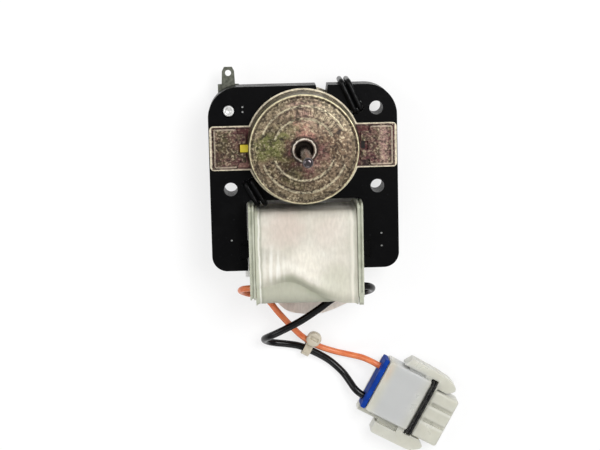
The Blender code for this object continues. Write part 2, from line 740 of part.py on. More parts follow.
def bracket_blank(name, look):
    """The front face's stamped strap with its disc, raised pads and necks, and press-in studs."""
    low = STACK_FRONT + SEAT
    high = low + SHEET
    half = STRAP_SPAN / 2
    side = STRAP_WIDTH / 2
    meet = math.degrees(math.asin(side / BRACKET_DISC_RADIUS))
    outline = arc(half - STRAP_CORNER, -side + STRAP_CORNER, STRAP_CORNER, -90, 0, 4)
    outline += arc(half - STRAP_CORNER, side - STRAP_CORNER, STRAP_CORNER, 0, 90, 4)
    outline += arc(0, 0, BRACKET_DISC_RADIUS, meet, 180 - meet, 20)
    outline += arc(-half + STRAP_CORNER, side - STRAP_CORNER, STRAP_CORNER, 90, 180, 4)
    outline += arc(-half + STRAP_CORNER, -side + STRAP_CORNER, STRAP_CORNER, 180, 270, 4)
    outline += arc(0, 0, BRACKET_DISC_RADIUS, 180 + meet, 360 - meet, 20)
    bracket = plate(name, [outline, circle(0, 0, BRACKET_BORE_RADIUS, ROUND_STEPS)], low, high, parts, look)
    top = high + PAD_RISE
    overlap = 0.3 * MM
    for turn, label in ((0, "right"), (math.pi, "left")):
        spin = Matrix.Rotation(turn, 4, "Z")
        pad_outline = rounded_box(PAD_INNER, -PAD_WIDTH / 2, PAD_OUTER, PAD_WIDTH / 2, 0.8 * MM, 3)
        pad = plate(f"{name}_pad_{label}", [pad_outline], high - overlap, top, parts)
        neck = box(
            f"{name}_neck_{label}",
            (NECK_INNER, -NECK_WIDTH / 2, high - overlap),
            (PAD_INNER + MM, NECK_WIDTH / 2, top - 0.02 * MM),
            parts,
        )
        pocket = box(
            f"{name}_pocket_{label}",
            (PAD_INNER + EMBOSS_WALL, -PAD_WIDTH / 2 + EMBOSS_WALL, low - MM),
            (PAD_OUTER - EMBOSS_WALL, PAD_WIDTH / 2 - EMBOSS_WALL, top - SHEET),
            parts,
        )
        stud_ends = (low - STUD_LENGTH, top - SHEET / 2)
        stud = rods(f"{name}_stud_{label}", [(STUD_X, 0)], STUD_RADIUS, *stud_ends, parts, 12)
        notch = box(
            f"{name}_notch_{label}",
            (NECK_INNER - MM, -TAB_NOTCH_WIDTH / 2, high + SEAT / 2),
            (NECK_INNER + TAB_NOTCH_LENGTH, TAB_NOTCH_WIDTH / 2, top + MM),
            parts,
        )
        for piece in (pad, neck, pocket, stud, notch):
            piece.data.transform(spin)
        join(bracket, pad, neck)
        cut(bracket, pocket)
        join(bracket, stud)
        cut(bracket, notch)
    return bracket


def flip_with_cutters(obj):
    flipped(obj)
    for modifier in obj.modifiers:
        flipped(modifier.object)
    return obj


def build_brackets():
    front = bracket_blank("front_bracket", looks["plated"])
    rear = flip_with_cutters(bracket_blank("rear_bracket", looks["plated"]))
    return front, rear


def tab_slot(name, foot, rise):
    """The notch in a cap's foot that the retainer's tab passes through."""
    width = RETAINER_TAB_WIDTH / 2 + SEAT
    ends = sorted((foot - rise * 0.5 * MM, foot + rise * (RETAINER_WALL + 2 * SEAT)))
    return box(name, (-CAP_FOOT_RADIUS - MM, -width, ends[0]), (-RETAINER_RIM_RADIUS, width, ends[1]), parts)


def build_front_cap():
    foot = CAP_FRONT_FOOT
    face = CAP_FRONT_FACE
    wall = CAP_SHEET
    rim_in = CAP_TOP_RADIUS - RIM_WIDTH
    groove = face - RIM_GROOVE_DEPTH
    shoulder = rim_in - RIM_SHOULDER
    centre = face + DOME_RISE
    hub = centre + HUB_RISE
    outside = [
        (HUB_HOLE_RADIUS, hub - 0.9 * MM),
        (HUB_LIP_RADIUS, hub),
        (HUB_RADIUS - 0.3 * MM, hub),
        (HUB_RADIUS, hub - 0.3 * MM),
        (HUB_RADIUS + 0.5 * MM, centre),
    ]
    bulge = [(0.45, 0.86), (0.7, 0.6), (0.88, 0.3)]
    outside += [(shoulder * part, face + DOME_RISE * rise) for part, rise in bulge]
    outside += [
        (shoulder, face - 0.1 * MM),
        (rim_in - 0.5 * MM, groove),
        (rim_in, groove),
        (rim_in + 0.15 * MM, face - 0.1 * MM),
        (CAP_TOP_RADIUS - 0.15 * MM, face),
        (CAP_TOP_RADIUS, face - 0.4 * MM),
        (CAP_TOP_RADIUS + 0.15 * MM, foot + 2.5 * MM),
        (CAP_FOOT_RADIUS, foot),
    ]
    inside = [
        (CAP_FOOT_RADIUS - wall, foot),
        (CAP_TOP_RADIUS + 0.15 * MM - wall, foot + 2.5 * MM),
        (CAP_TOP_RADIUS - wall - 0.3 * MM, groove - wall - 0.6 * MM),
        (rim_in - 0.8 * MM, groove - wall),
        (shoulder * 0.88, face + DOME_RISE * 0.3 - wall),
        (shoulder * 0.45, face + DOME_RISE * 0.86 - wall),
        (HUB_RADIUS, centre - wall),
        (HUB_HOLE_RADIUS, centre - wall),
    ]
    cap = turned("front_bearing_cap", outside + inside, parts, looks["plated"])
    return cut(cap, tab_slot("front_tab_slot", foot, 1))


def build_rear_cap():
    foot = CAP_REAR_FOOT
    wall = CAP_SHEET
    flat = CAP_TOP_RADIUS - REAR_CORNER
    corner = arc(flat, REAR_CORNER, REAR_CORNER, 0, -72, 3)
    profile = [(0, wall), (flat, wall), (CAP_TOP_RADIUS - wall, REAR_CORNER), (CAP_FOOT_RADIUS - wall, foot)]
    profile += [(CAP_FOOT_RADIUS, foot)] + corner + [(flat, 0), (0, 0)]
    cap = turned("rear_bearing_cap", profile, parts, looks["plated"], closed=False)
    return cut(cap, tab_slot("rear_tab_slot", foot, -1))


def retainer(name, foot, plate_level, rise, top):
    """A plastic dish that stands on the bracket and holds the bearing. rise is 1 at the front, -1 behind."""
    rim_in = RETAINER_RIM_RADIUS - RETAINER_WALL
    collar_in = BEARING_SPHERE + SEAT
    collar_out = collar_in + RETAINER_WALL
    low = plate_level
    high = plate_level + rise * RETAINER_WALL
    profile = [
        (collar_in, low),
        (collar_in, top),
        (collar_out, top),
        (collar_out, high),
        (RETAINER_RIM_RADIUS, high),
        (RETAINER_RIM_RADIUS, foot),
        (rim_in, foot),
        (rim_in, low),
    ]
    if rise < 0:
        profile.reverse()
    dish = turned(name, profile, parts, looks["retainer"], steps=36)
    ends = sorted((foot, foot + rise * RETAINER_WALL))
    reach = NECK_INNER + TAB_NOTCH_LENGTH - 2 * SEAT
    tab = box(
        name + "_tab",
        (-reach, -RETAINER_TAB_WIDTH / 2, ends[0]),
        (-rim_in - 0.3 * MM, RETAINER_TAB_WIDTH / 2, ends[1]),
        parts,
    )
    return join(dish, tab)


def bearing(name, centre):
    """A sintered bearing with a spherical outside."""
    half = BEARING_HALF_LENGTH
    tilt = math.degrees(math.asin(half / BEARING_SPHERE))
    ball = arc(0, centre, BEARING_SPHERE, tilt, -tilt, 6)
    bore = SHAFT_RADIUS + RUNNING
    profile = ball + [(bore, centre - half), (bore, centre + half)]
    return turned(name, profile, parts, looks["bronze"], steps=24)


def ring(name, inner, outer, low, high, look, steps=ROUND_STEPS):
    return turned(name, [(inner, high), (outer, high), (outer, low), (inner, low)], parts, look, steps=steps)


def build_bearings():
    cap_inside = CAP_FRONT_FACE + DOME_RISE - CAP_SHEET
    front_centre = cap_inside - SEAT - BEARING_HALF_LENGTH
    rear_centre = CAP_SHEET + SEAT + BEARING_HALF_LENGTH
    bearing("front_bearing", front_centre)
    bearing("rear_bearing", rear_centre)
    front_foot = CAP_FRONT_FOOT
    rear_foot = CAP_REAR_FOOT
    front_plate = front_foot + RETAINER_WALL + SEAT + 0.9 * MM
    rear_plate = rear_foot - RETAINER_WALL - SEAT
    retainer("front_retainer", front_foot, front_plate, 1, front_plate + RETAINER_COLLAR)
    retainer("rear_retainer", rear_foot, rear_plate, -1, rear_plate - RETAINER_COLLAR)
    front_low = front_plate + RETAINER_WALL + SEAT
    rear_high = rear_plate - RETAINER_WALL - SEAT
    shelf = shell_underside(FELT_OUTER)
    ring("front_felt", FELT_INNER, FELT_OUTER, front_low, shelf - SEAT, looks["felt"], 24)
    ring("rear_felt", FELT_INNER, FELT_OUTER, CAP_SHEET + SEAT, rear_high, looks["felt"], 24)
    return front_centre, rear_centre


def shell_underside(radius):
    """Level of the front cap's inside at a radius on its dome."""
    shoulder = CAP_TOP_RADIUS - RIM_WIDTH - RIM_SHOULDER
    part = radius / shoulder
    rise = 0.86 + (0.3 - 0.86) * (part - 0.45) / (0.88 - 0.45)
    return CAP_FRONT_FACE + DOME_RISE * rise - CAP_SHEET


def build_rotor(front_centre, rear_centre):
    angles = [2 * math.pi * i / ROTOR_SLOTS for i in range(ROTOR_SLOTS)]
    places = [(ROTOR_SLOT_CIRCLE * math.cos(a), ROTOR_SLOT_CIRCLE * math.sin(a)) for a in angles]
    loops = [circle(0, 0, ROTOR_RADIUS, ROUND_STEPS), circle(0, 0, SHAFT_RADIUS + SEAT, 24)]
    loops += [circle(x, y, ROTOR_SLOT_RADIUS, 8) for x, y in places]
    plate("rotor_core", loops, STACK_REAR, STACK_FRONT, parts, looks["steel"])
    outer = ROTOR_RADIUS - 0.2 * MM
    top = STACK_FRONT + SEAT
    base = STACK_REAR - SEAT
    cage = ring("rotor_cage", END_RING_INNER, outer, top, top + END_RING_HEIGHT, looks["aluminium"], 36)
    lower = ring("cage_lower_ring", END_RING_INNER, outer, base - END_RING_HEIGHT, base, None, 36)
    bars = rods(
        "cage_bars", places, ROTOR_SLOT_RADIUS - SEAT, base - MM, top + MM, parts, 6
    )
    join(cage, bars, lower)
    half = BEARING_HALF_LENGTH
    washer_in = SHAFT_RADIUS + SEAT
    front_ends = (STACK_FRONT + SEAT, front_centre - half - SEAT)
    rear_ends = (rear_centre + half + SEAT, STACK_REAR - SEAT)
    ring("front_spacer", washer_in, WASHER_RADIUS, *front_ends, looks["nylon"], 24)
    ring("rear_spacer", washer_in, WASHER_RADIUS, *rear_ends, looks["nylon"], 24)
    end = CAP_SHEET + SEAT
    chamfer = 0.4 * MM
    tip = arc(SHAFT_RADIUS - SHAFT_TIP_ROUND, SHAFT_TIP - SHAFT_TIP_ROUND, SHAFT_TIP_ROUND, 90, 0, 5)
    profile = [(0, SHAFT_TIP)] + tip
    profile += [(SHAFT_RADIUS, end + chamfer), (SHAFT_RADIUS - chamfer, end), (0, end)]
    turned("shaft", profile, parts, looks["steel"], closed=False, steps=20)


def build_ground():
    x = GROUND_POINT[0]
    eye_y = GROUND_POINT[1]
    high = STACK_REAR - SEAT
    low = high - SPADE_SHEET
    half = SPADE_WIDTH / 2
    shoulder = SPADE_SHOULDER_WIDTH / 2
    tip = SPADE_TIP
    outline = [
        (x - shoulder, SPADE_SHOULDER_Y),
        (x - half - 0.2 * MM, SPADE_SHOULDER_Y),
        (x - half, SPADE_TOP - 2 * tip),
        (x - half + tip, SPADE_TOP),
        (x + half - tip, SPADE_TOP),
        (x + half, SPADE_TOP - 2 * tip),
        (x + half + 0.2 * MM, SPADE_SHOULDER_Y),
        (x + shoulder, SPADE_SHOULDER_Y),
    ]
    outline += arc(x, eye_y, EYE_RADIUS, 30, -210, 16)
    holes = [circle(x, SPADE_HOLE_Y, SPADE_HOLE_RADIUS, 12), circle(x, eye_y, RIVET_RADIUS + SEAT, 16)]
    plate("ground_terminal", [outline] + holes, low, high, parts, looks["tin"])
    head_high = low - SEAT
    head_low = head_high - RIVET_HEAD_HEIGHT
    end = STACK_FRONT - 0.4 * MM
    profile = [
        (0, end - 0.5 * MM),
        (0.9 * MM, end - 0.5 * MM),
        (1.2 * MM, end),
        (RIVET_RADIUS - 0.2 * MM, end),
        (RIVET_RADIUS, end - 0.2 * MM),
        (RIVET_RADIUS, head_high),
        (RIVET_HEAD_RADIUS, head_high),
        (RIVET_HEAD_RADIUS - 0.1 * MM, head_low + 0.3 * MM),
        (RIVET_HEAD_RADIUS - 0.6 * MM, head_low),
        (0, head_low),
    ]
    rivet = turned("ground_rivet", profile, parts, looks["tin"], closed=False, steps=20)
    rivet.location = (x, eye_y, 0)


def placed(point, side=0, fade=0.0):
    """A point of the routes, the tie or the plug in metres, moved with the bobbin's flanges."""
    across = side * fade * (FLANGE_SPAN / 2 - ROUTE_CORNER[0] * MM)
    along = FLANGE_BOTTOM - ROUTE_CORNER[1] * MM
    return Vector(point) * MM + Vector((across, along, 0))


def smooth_route(points, side, spacing):
    """Points read at a spacing from a smooth curve through the route's own points."""
    knots = [placed(point, side, max(0, 1 - i / ROUTE_FADE)) for i, point in enumerate(points)]
    padded = [2 * knots[0] - knots[1]] + knots + [2 * knots[-1] - knots[-2]]
    found = []
    for i in range(1, len(padded) - 2):
        before, start, end, after = padded[i - 1 : i + 3]
        pieces = max(1, round((end - start).length / spacing))
        for step in range(pieces):
            t = step / pieces
            found.append(
                0.5
                * (
                    2 * start
                    + (end - before) * t
                    + (2 * before - 5 * start + 4 * end - after) * t * t
                    + (3 * start - before - 3 * end + after) * t * t * t
                )
            )
    found.append(knots[-1])
    return found


def build_leads():
    for name, route, side, radius in (
        ("lead_orange", ORANGE_ROUTE, -1, ORANGE_LEAD_RADIUS),
        ("lead_black", BLACK_ROUTE, 1, BLACK_LEAD_RADIUS),
    ):
        tube_curve(name, smooth_route(route, side, 2.0 * radius), radius, looks[name])


def build_tie():
    """A strap round both leads, with its head on top."""
    inner_y = LEAD_SPACING / 2 + BLACK_LEAD_RADIUS + 0.3 * MM
    inner_z = BLACK_LEAD_RADIUS + 0.3 * MM
    outer_y = inner_y + TIE_BAND
    outer_z = inner_z + TIE_BAND
    loops = [
        rounded_box(-outer_y, -outer_z, outer_y, outer_z, outer_z - 0.1 * MM, 5),
        rounded_box(-inner_y, -inner_z, inner_y, inner_z, inner_z - 0.1 * MM, 5),
    ]
    strap = along_x(plate("cable_tie", loops, -TIE_WIDTH / 2, TIE_WIDTH / 2, parts, looks["nylon"]))
    length, depth, height = TIE_HEAD
    start = TIE_HEAD_START
    outline = rounded_box(-length / 2, start, length / 2, start + depth, TIE_HEAD_ROUND, 5)
    head_low = inner_z + TIE_BAND / 2
    head = plate("tie_head", [outline], head_low, head_low + height, parts)
    join(strap, head)
    place = Matrix.Translation(placed(TIE_CENTRE)) @ Matrix.Rotation(math.radians(TIE_TURN), 4, "Z")
    for obj in (strap, head):
        obj.data.transform(place)
    return strap


def lead_row(number):
    """Offset across the connector of one of its three ways."""
    return CAVITY_CENTRE + (number - 1) * CAVITY_PITCH


def across_rods(name, offsets, radius, start, end, steps=12):
    """Round bars along the connector's own axis."""
    bars = rods(name, [(0, 0)], radius, start, end, parts, steps)
    if len(offsets) > 1:
        bm = bmesh.new()
        for offset in offsets:
            bmesh.ops.create_cone(
                bm,
                cap_ends=True,
                segments=steps,
                radius1=radius,
                radius2=radius,
                depth=end - start,
                matrix=Matrix.Translation((offset, 0, (start + end) / 2)),
            )
        bm.to_mesh(bars.data)
        bm.free()
    else:
        bars.data.transform(Matrix.Translation((offsets[0], 0, 0)))
    along_x(bars)
    bars.data.transform(Matrix.Translation((0, 0, PLUG_AXIS_HEIGHT)))
    return bars


def latch_arm(name, side, body, wall, tower, reach, bulge):
    """A latch arm in the connector's frame, bridged to the body, bowed round the gasket's end."""
    inner = wall + LATCH_SLOT
    outer = wall + reach
    beside = GASKET_HALF + GASKET_OVERHANG - 0.15 * MM
    past = PLUG_BODY_END + GASKET_THICKNESS + 2.4 * SEAT
    outline = [
        (LATCH_START, inner),
        (LATCH_START, outer - 0.9 * MM),
        (LATCH_START + 1.3 * MM, outer),
        ((LATCH_START + LATCH_END) / 2 + 1.0 * MM, outer + bulge),
        (LATCH_END - 1.2 * MM, outer - 1.5 * MM),
        (LATCH_END, outer - 2.9 * MM),
        (LATCH_END - 0.8 * MM, tower + 1.7 * MM),
        (LATCH_END - 2.4 * MM, tower + 0.5 * MM),
        (past, tower + 0.5 * MM),
        (past, beside),
        (PLUG_BODY_END - SEAT, beside),
        (PLUG_BODY_END - SEAT, body - 0.6 * MM),
        (LATCH_BRIDGE, body - 0.6 * MM),
        (LATCH_BRIDGE, inner),
    ]
    points = [(u, CAVITY_CENTRE + side * v) for u, v in outline]
    if side < 0:
        points.reverse()
    return plate(name, [points], *LATCH_LEVELS, parts)


def build_connector():
    base = PLUG_AXIS_HEIGHT - PLUG_HEIGHT / 2
    top = base + PLUG_HEIGHT
    upper = CAVITY_CENTRE + PLUG_UPPER
    lower = CAVITY_CENTRE - PLUG_LOWER
    ledge = CAVITY_CENTRE - PLUG_LEDGE
    seal_half = SEAL_THICKNESS / 2
    body_start = seal_half + SEAT
    gasket_start = PLUG_BODY_END + SEAT
    gasket_end = gasket_start + GASKET_THICKNESS
    neck_low, neck_high = (CAVITY_CENTRE - NECK_HALF, CAVITY_CENTRE + NECK_HALF)
    neck_base, neck_top = (base + 1.2 * MM, top - 1.2 * MM)
    housing = box(
        "connector_housing",
        (body_start, lower, base),
        (PLUG_BODY_END, upper, top),
        parts,
        looks["housing"],
        0.7 * MM,
    )
    neck = box(
        "plug_neck",
        (PLUG_BODY_END - MM, neck_low, neck_base),
        (gasket_end + MM, neck_high, neck_top),
        parts,
    )
    towers = box(
        "plug_towers",
        (gasket_end + SEAT, CAVITY_CENTRE - TOWER_LOWER, base + 0.5 * MM),
        (PLUG_LENGTH, CAVITY_CENTRE + TOWER_UPPER, top - 0.5 * MM),
        parts,
        bevel=0.6 * MM,
    )
    shelf = box(
        "plug_ledge",
        (-0.2 * seal_half, ledge, base + 0.1 * MM),
        (PLUG_BODY_END - 0.5 * MM, lower + 0.15 * MM, base + PLUG_LEDGE_HEIGHT),
        parts,
    )
    lip = box(
        "seal_lip",
        (-seal_half, lower + 0.8 * MM, base),
        (body_start + MM, upper - 0.8 * MM, base + 0.8 * MM),
        parts,
    )
    upper_arm = latch_arm("latch_upper", 1, PLUG_UPPER, PLUG_UPPER, TOWER_UPPER, 3.7 * MM, -0.4 * MM)
    lower_arm = latch_arm("latch_lower", -1, PLUG_LOWER, PLUG_LEDGE, TOWER_LOWER, 4.5 * MM, 0.3 * MM)
    join(housing, neck, towers, shelf, lip, upper_arm, lower_arm)
    for level, label in ((top - 0.5 * MM, "top"), (base + 0.5 * MM, "base")):
        for number in (0, 1):
            middle = (lead_row(number) + lead_row(number + 1)) / 2
            groove = box(
                f"tower_groove_{label}_{number}",
                (gasket_end + 1.6 * MM, middle - 0.65 * MM, level - 1.3 * MM),
                (PLUG_LENGTH + MM, middle + 0.65 * MM, level + 1.3 * MM),
                parts,
            )
            cut(housing, groove)
    ways = [lead_row(number) for number in range(3)]
    cut(housing, across_rods("cavities", ways, CAVITY_RADIUS, body_start - MM, PLUG_LENGTH + MM))
    seal = box(
        "wire_seal",
        (-seal_half, lower + 0.45 * MM, base + 0.8 * MM + SEAT),
        (seal_half, upper - 0.2 * MM, top - 0.1 * MM),
        parts,
        looks["seal"],
        0.6 * MM,
    )
    through = (-2 * seal_half, 2 * seal_half)
    cut(seal, across_rods("seal_hole_black", [ways[0]], BLACK_LEAD_RADIUS + 0.35 * MM, *through))
    cut(seal, across_rods("seal_hole_orange", [ways[2]], ORANGE_LEAD_RADIUS + 0.35 * MM, *through))
    out = GASKET_OVERHANG
    far = CAVITY_CENTRE + GASKET_HALF
    near = CAVITY_CENTRE - GASKET_HALF
    loops = [
        rounded_box(near, base - out, far, top + out, 2.2 * MM),
        rounded_box(neck_low - SEAT, neck_base - SEAT, neck_high + SEAT, neck_top + SEAT, 0.4 * MM, 1),
    ]
    gasket = along_x(plate("gasket", loops, gasket_start, gasket_end, parts, looks["rubber"]))
    around = rounded_box(near - MM, base - out - MM, far + MM, top + out + MM, MM)
    deep = out + 0.1 * MM
    inset = rounded_box(near + deep, base - out + deep, far - deep, top + out - deep, 1.8 * MM)
    middle = (gasket_start + gasket_end) / 2
    groove_ends = (middle - 0.25 * MM, middle + 0.25 * MM)
    cut(gasket, along_x(plate("gasket_groove", [around, inset], *groove_ends, parts)))
    contacts = []
    for number, label in ((0, "black"), (2, "orange")):
        contact = across_rods(f"contact_{label}", [ways[number]], CONTACT_RADIUS, 3.9 * MM, 26.0 * MM)
        contact.data.materials.append(looks["tin"])
        bore = across_rods(f"contact_bore_{label}", [ways[number]], CONTACT_BORE, 12.0 * MM, 27.0 * MM, 8)
        cut(contact, bore)
        contacts.append(contact)
    place = Matrix.Translation(placed(PLUG_CENTRE)) @ Matrix.Rotation(math.radians(PLUG_TURN), 4, "Z")
    moved = set()
    for obj in [housing, seal, gasket] + contacts:
        for piece in [obj] + [modifier.object for modifier in obj.modifiers]:
            if piece not in moved:
                piece.data.transform(place)
                moved.add(piece)


clear_scene()
parts = collection("evaporator_fan_motor")
cutters = collection("cutters")
looks = {
    "lacquer": material("lacquer", (0.02, 0.02, 0.022), 0.35, 0.3),
    "plated": material("plated", (0.42, 0.37, 0.27), 0.35, 0.9),
    "bobbin": material("bobbin", (0.72, 0.74, 0.66), 0.45),
    "copper": material("copper", (0.35, 0.16, 0.08), 0.4, 0.8),
    "tape": material("tape", (0.82, 0.8, 0.76), 0.8),
    "steel": material("steel", (0.55, 0.55, 0.56), 0.25, 1.0),
    "aluminium": material("aluminium", (0.7, 0.7, 0.71), 0.4, 1.0),
    "bronze": material("bronze", (0.45, 0.32, 0.18), 0.6, 0.7),
    "felt": material("felt", (0.75, 0.7, 0.6), 0.95),
    "retainer": material("retainer", (0.9, 0.78, 0.15), 0.5),
    "nylon": material("nylon", (0.78, 0.74, 0.64), 0.5),
    "tin": material("tin", (0.6, 0.61, 0.6), 0.45, 0.9),
    "lead_orange": material("lead_orange", (0.9, 0.3, 0.08), 0.45),
    "lead_black": material("lead_black", (0.02, 0.02, 0.02), 0.4),
    "housing": material("housing", (0.7, 0.71, 0.66), 0.4, alpha=0.7),
    "seal": material("seal", (0.02, 0.1, 0.5), 0.5),
    "rubber": material("rubber", (0.02, 0.02, 0.02), 0.6),
}
build_stack()
build_bar()
build_bobbin()
build_winding()
build_tape()
build_shading_rings()
build_brackets()
build_front_cap()
build_rear_cap()
build_rotor(*build_bearings())
build_ground()
build_leads()
build_tie()
build_connector()
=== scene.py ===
"""The looks of the evaporator fan motor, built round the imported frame, in the row frame.

Shapes and places are given in millimetres and become metres where a mesh or a node is made.
"""

import math

import bmesh
import bpy
from mathutils import Matrix, Vector, noise


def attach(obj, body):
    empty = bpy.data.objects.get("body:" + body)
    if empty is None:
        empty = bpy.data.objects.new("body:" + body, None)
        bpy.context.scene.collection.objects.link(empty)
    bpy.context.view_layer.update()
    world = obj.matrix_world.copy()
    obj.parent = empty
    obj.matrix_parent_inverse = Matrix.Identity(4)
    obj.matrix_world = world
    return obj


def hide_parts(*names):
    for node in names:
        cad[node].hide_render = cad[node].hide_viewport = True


MM = 0.001
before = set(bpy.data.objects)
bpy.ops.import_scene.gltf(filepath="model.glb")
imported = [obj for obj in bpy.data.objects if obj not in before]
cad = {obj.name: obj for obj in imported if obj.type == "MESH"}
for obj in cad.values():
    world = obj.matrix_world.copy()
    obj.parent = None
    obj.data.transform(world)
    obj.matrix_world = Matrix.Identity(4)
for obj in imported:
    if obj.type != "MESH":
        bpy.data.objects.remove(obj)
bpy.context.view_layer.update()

# Camera, in metres, found from the stack, the cap and the shaft's tip

PHOTO_WIDTH = 600
FOCAL_PIXELS = 1646
SENSOR_WIDTH = 36.0
CAMERA_PLACE = (-0.01511, 0.05766, 0.55003)
CAMERA_RIGHT = (0.99931, -0.02306, 0.02905)
CAMERA_BACK = (-0.02512, 0.15568, 0.98749)


def set_camera():
    data = bpy.data.cameras.new("camera")
    data.sensor_width = SENSOR_WIDTH
    data.lens = SENSOR_WIDTH * FOCAL_PIXELS / PHOTO_WIDTH
    data.clip_start = 0.01
    data.clip_end = 10.0
    camera = bpy.data.objects.new("camera", data)
    bpy.context.scene.collection.objects.link(camera)
    back = Vector(CAMERA_BACK).normalized()
    up = back.cross(Vector(CAMERA_RIGHT)).normalized()
    turn = Matrix((up.cross(back), up, back)).transposed()
    camera.matrix_world = Matrix.Translation(CAMERA_PLACE) @ turn.to_4x4()
    bpy.context.scene.camera = camera


# Shared sizes

STACK_REAR = 9.0
STACK_FRONT = 21.0
STACK_MIDDLE = 15.0
CAP_TOP = 17.507
CAP_FOOT = 18.307
CAP_FRONT_FOOT = 22.5
CAP_FACE = 31.1
CAP_REAR_FOOT = 7.5
CAP_SHEET = 0.9
SEAT = 0.25
DIMPLES = (
    (-19.6, 12.8), (-19.6, 11.2), (18.4, 13.6), (18.4, 12.0), (-24.3, -30.6), (24.6, -29.4), (24.6, -33.6),
)
# How far the tail reaches and where the front layer's fold lies, across the coil
COIL_EDGE = 16.4
TAIL_ENDS = (
    (-COIL_EDGE, -50.6), (-11.5, -51.4), (-9.3, -55.2), (-7.3, -57.3), (-4.8, -58.6), (0.5, -59.3),
    (5.0, -59.3), (9.2, -58.0), (13.4, -56.2), (COIL_EDGE, -54.8),
)
FOLD_ENDS = (
    (-COIL_EDGE, -43.9), (-14.5, -43.5), (-10.3, -42.6), (-7.1, -41.9), (-4.5, -41.8), (-2.3, -42.8),
    (1.6, -45.2), (4.1, -46.6), (6.9, -47.8), (11.5, -49.1), (COIL_EDGE, -49.4),
)
# The plug's place and turn on the floor, and the leads' thickness
PLUG_AT = (22.5, -82.0)
PLUG_TURN = math.radians(-29)
ORANGE_RADIUS = 1.05
BLACK_RADIUS = 1.22
# How many of each lie side by side in a metre
SHEETS_PER_METRE = 2000
WARP_PER_METRE = 3200
WEFT_PER_METRE = 2600
TURNS_PER_METRE = 2400

# Materials. A node goes into the tree that its inputs come from.


def tint(color):
    """Three sRGB bytes as a linear colour. A colour of four values is linear already."""
    if len(color) == 4:
        return color
    parts = [c / 255 for c in color]
    return (*[c / 12.92 if c <= 0.04045 else ((c + 0.055) / 1.055) ** 2.4 for c in parts], 1.0)


def feed(socket, value):
    if isinstance(value, bpy.types.NodeSocket):
        socket.id_data.links.new(value, socket)
    else:
        socket.default_value = value


def add_node(tree, kind, inputs, **settings):
    made = tree.nodes.new(kind)
    for name, value in settings.items():
        setattr(made, name, value)
    for name, value in inputs.items():
        feed(made.inputs[name], value)
    return made


def work(operation, *values, clamp=False):
    tree = next(value.id_data for value in values if isinstance(value, bpy.types.NodeSocket))
    made = add_node(tree, "ShaderNodeMath", dict(enumerate(values)), operation=operation, use_clamp=clamp)
    return made.outputs[0]


def plus(a, b):
    return work("ADD", a, b)


def minus(a, b):
    return work("SUBTRACT", a, b)


def most(a, b):
    return work("MAXIMUM", a, b)


def size_of(value):
    return work("ABSOLUTE", value)


def times(*values):
    found = values[0]
    for value in values[1:]:
        found = work("MULTIPLY", found, value)
    return found


def mix(factor, a, b):
    return add_node(factor.id_data, "ShaderNodeMix", {0: factor, 6: a, 7: b}, data_type="RGBA").outputs[2]


def ramp(value, stops, interpolation="LINEAR"):
    made = add_node(value.id_data, "ShaderNodeValToRGB", {"Fac": value})
    colors = made.color_ramp
    colors.interpolation = interpolation
    while len(colors.elements) < len(stops):
        colors.elements.new(0.5)
    for element, (place, color) in zip(colors.elements, stops):
        element.position = place
        element.color = tint(color)
    return made.outputs["Color"]


def span(value, low, high, out_low=0.0, out_high=1.0, smooth=False):
    """0 where the value is low and 1 where it is high, or what else is given for the two."""
    inputs = {"Value": value, "From Min": low, "From Max": high, "To Min": out_low, "To Max": out_high}
    kind = "SMOOTHSTEP" if smooth else "LINEAR"
    return add_node(value.id_data, "ShaderNodeMapRange", inputs, interpolation_type=kind).outputs["Result"]


def one_less(value):
    return span(value, 1.0, 0.0)


def flat(x, y):
    return add_node(x.id_data, "ShaderNodeCombineXYZ", {"X": x, "Y": y}).outputs[0]


def apart(place, x, y):
    """How far a place is from a point on the flat, which is given in millimetres."""
    inputs = {0: place, 1: (x * MM, y * MM, 0)}
    return add_node(place.id_data, "ShaderNodeVectorMath", inputs, operation="DISTANCE").outputs["Value"]


def spot(place, x, y, inner, outer):
    """1 within the inner radius round a point in millimetres, 0 beyond the outer one."""
    return span(apart(place, x, y), inner * MM, outer * MM, 1.0, 0.0, True)


def band(value, low, high, edge):
    """1 between two lengths in millimetres, with soft edges."""
    rise = span(value, (low - edge) * MM, (low + edge) * MM)
    return times(rise, span(value, (high - edge) * MM, (high + edge) * MM, 1.0, 0.0))


def bump(height, distance, strength=1.0, normal=None):
    inputs = {"Height": height, "Distance": distance, "Strength": strength}
    if normal:
        inputs["Normal"] = normal
    return add_node(height.id_data, "ShaderNodeBump", inputs).outputs["Normal"]


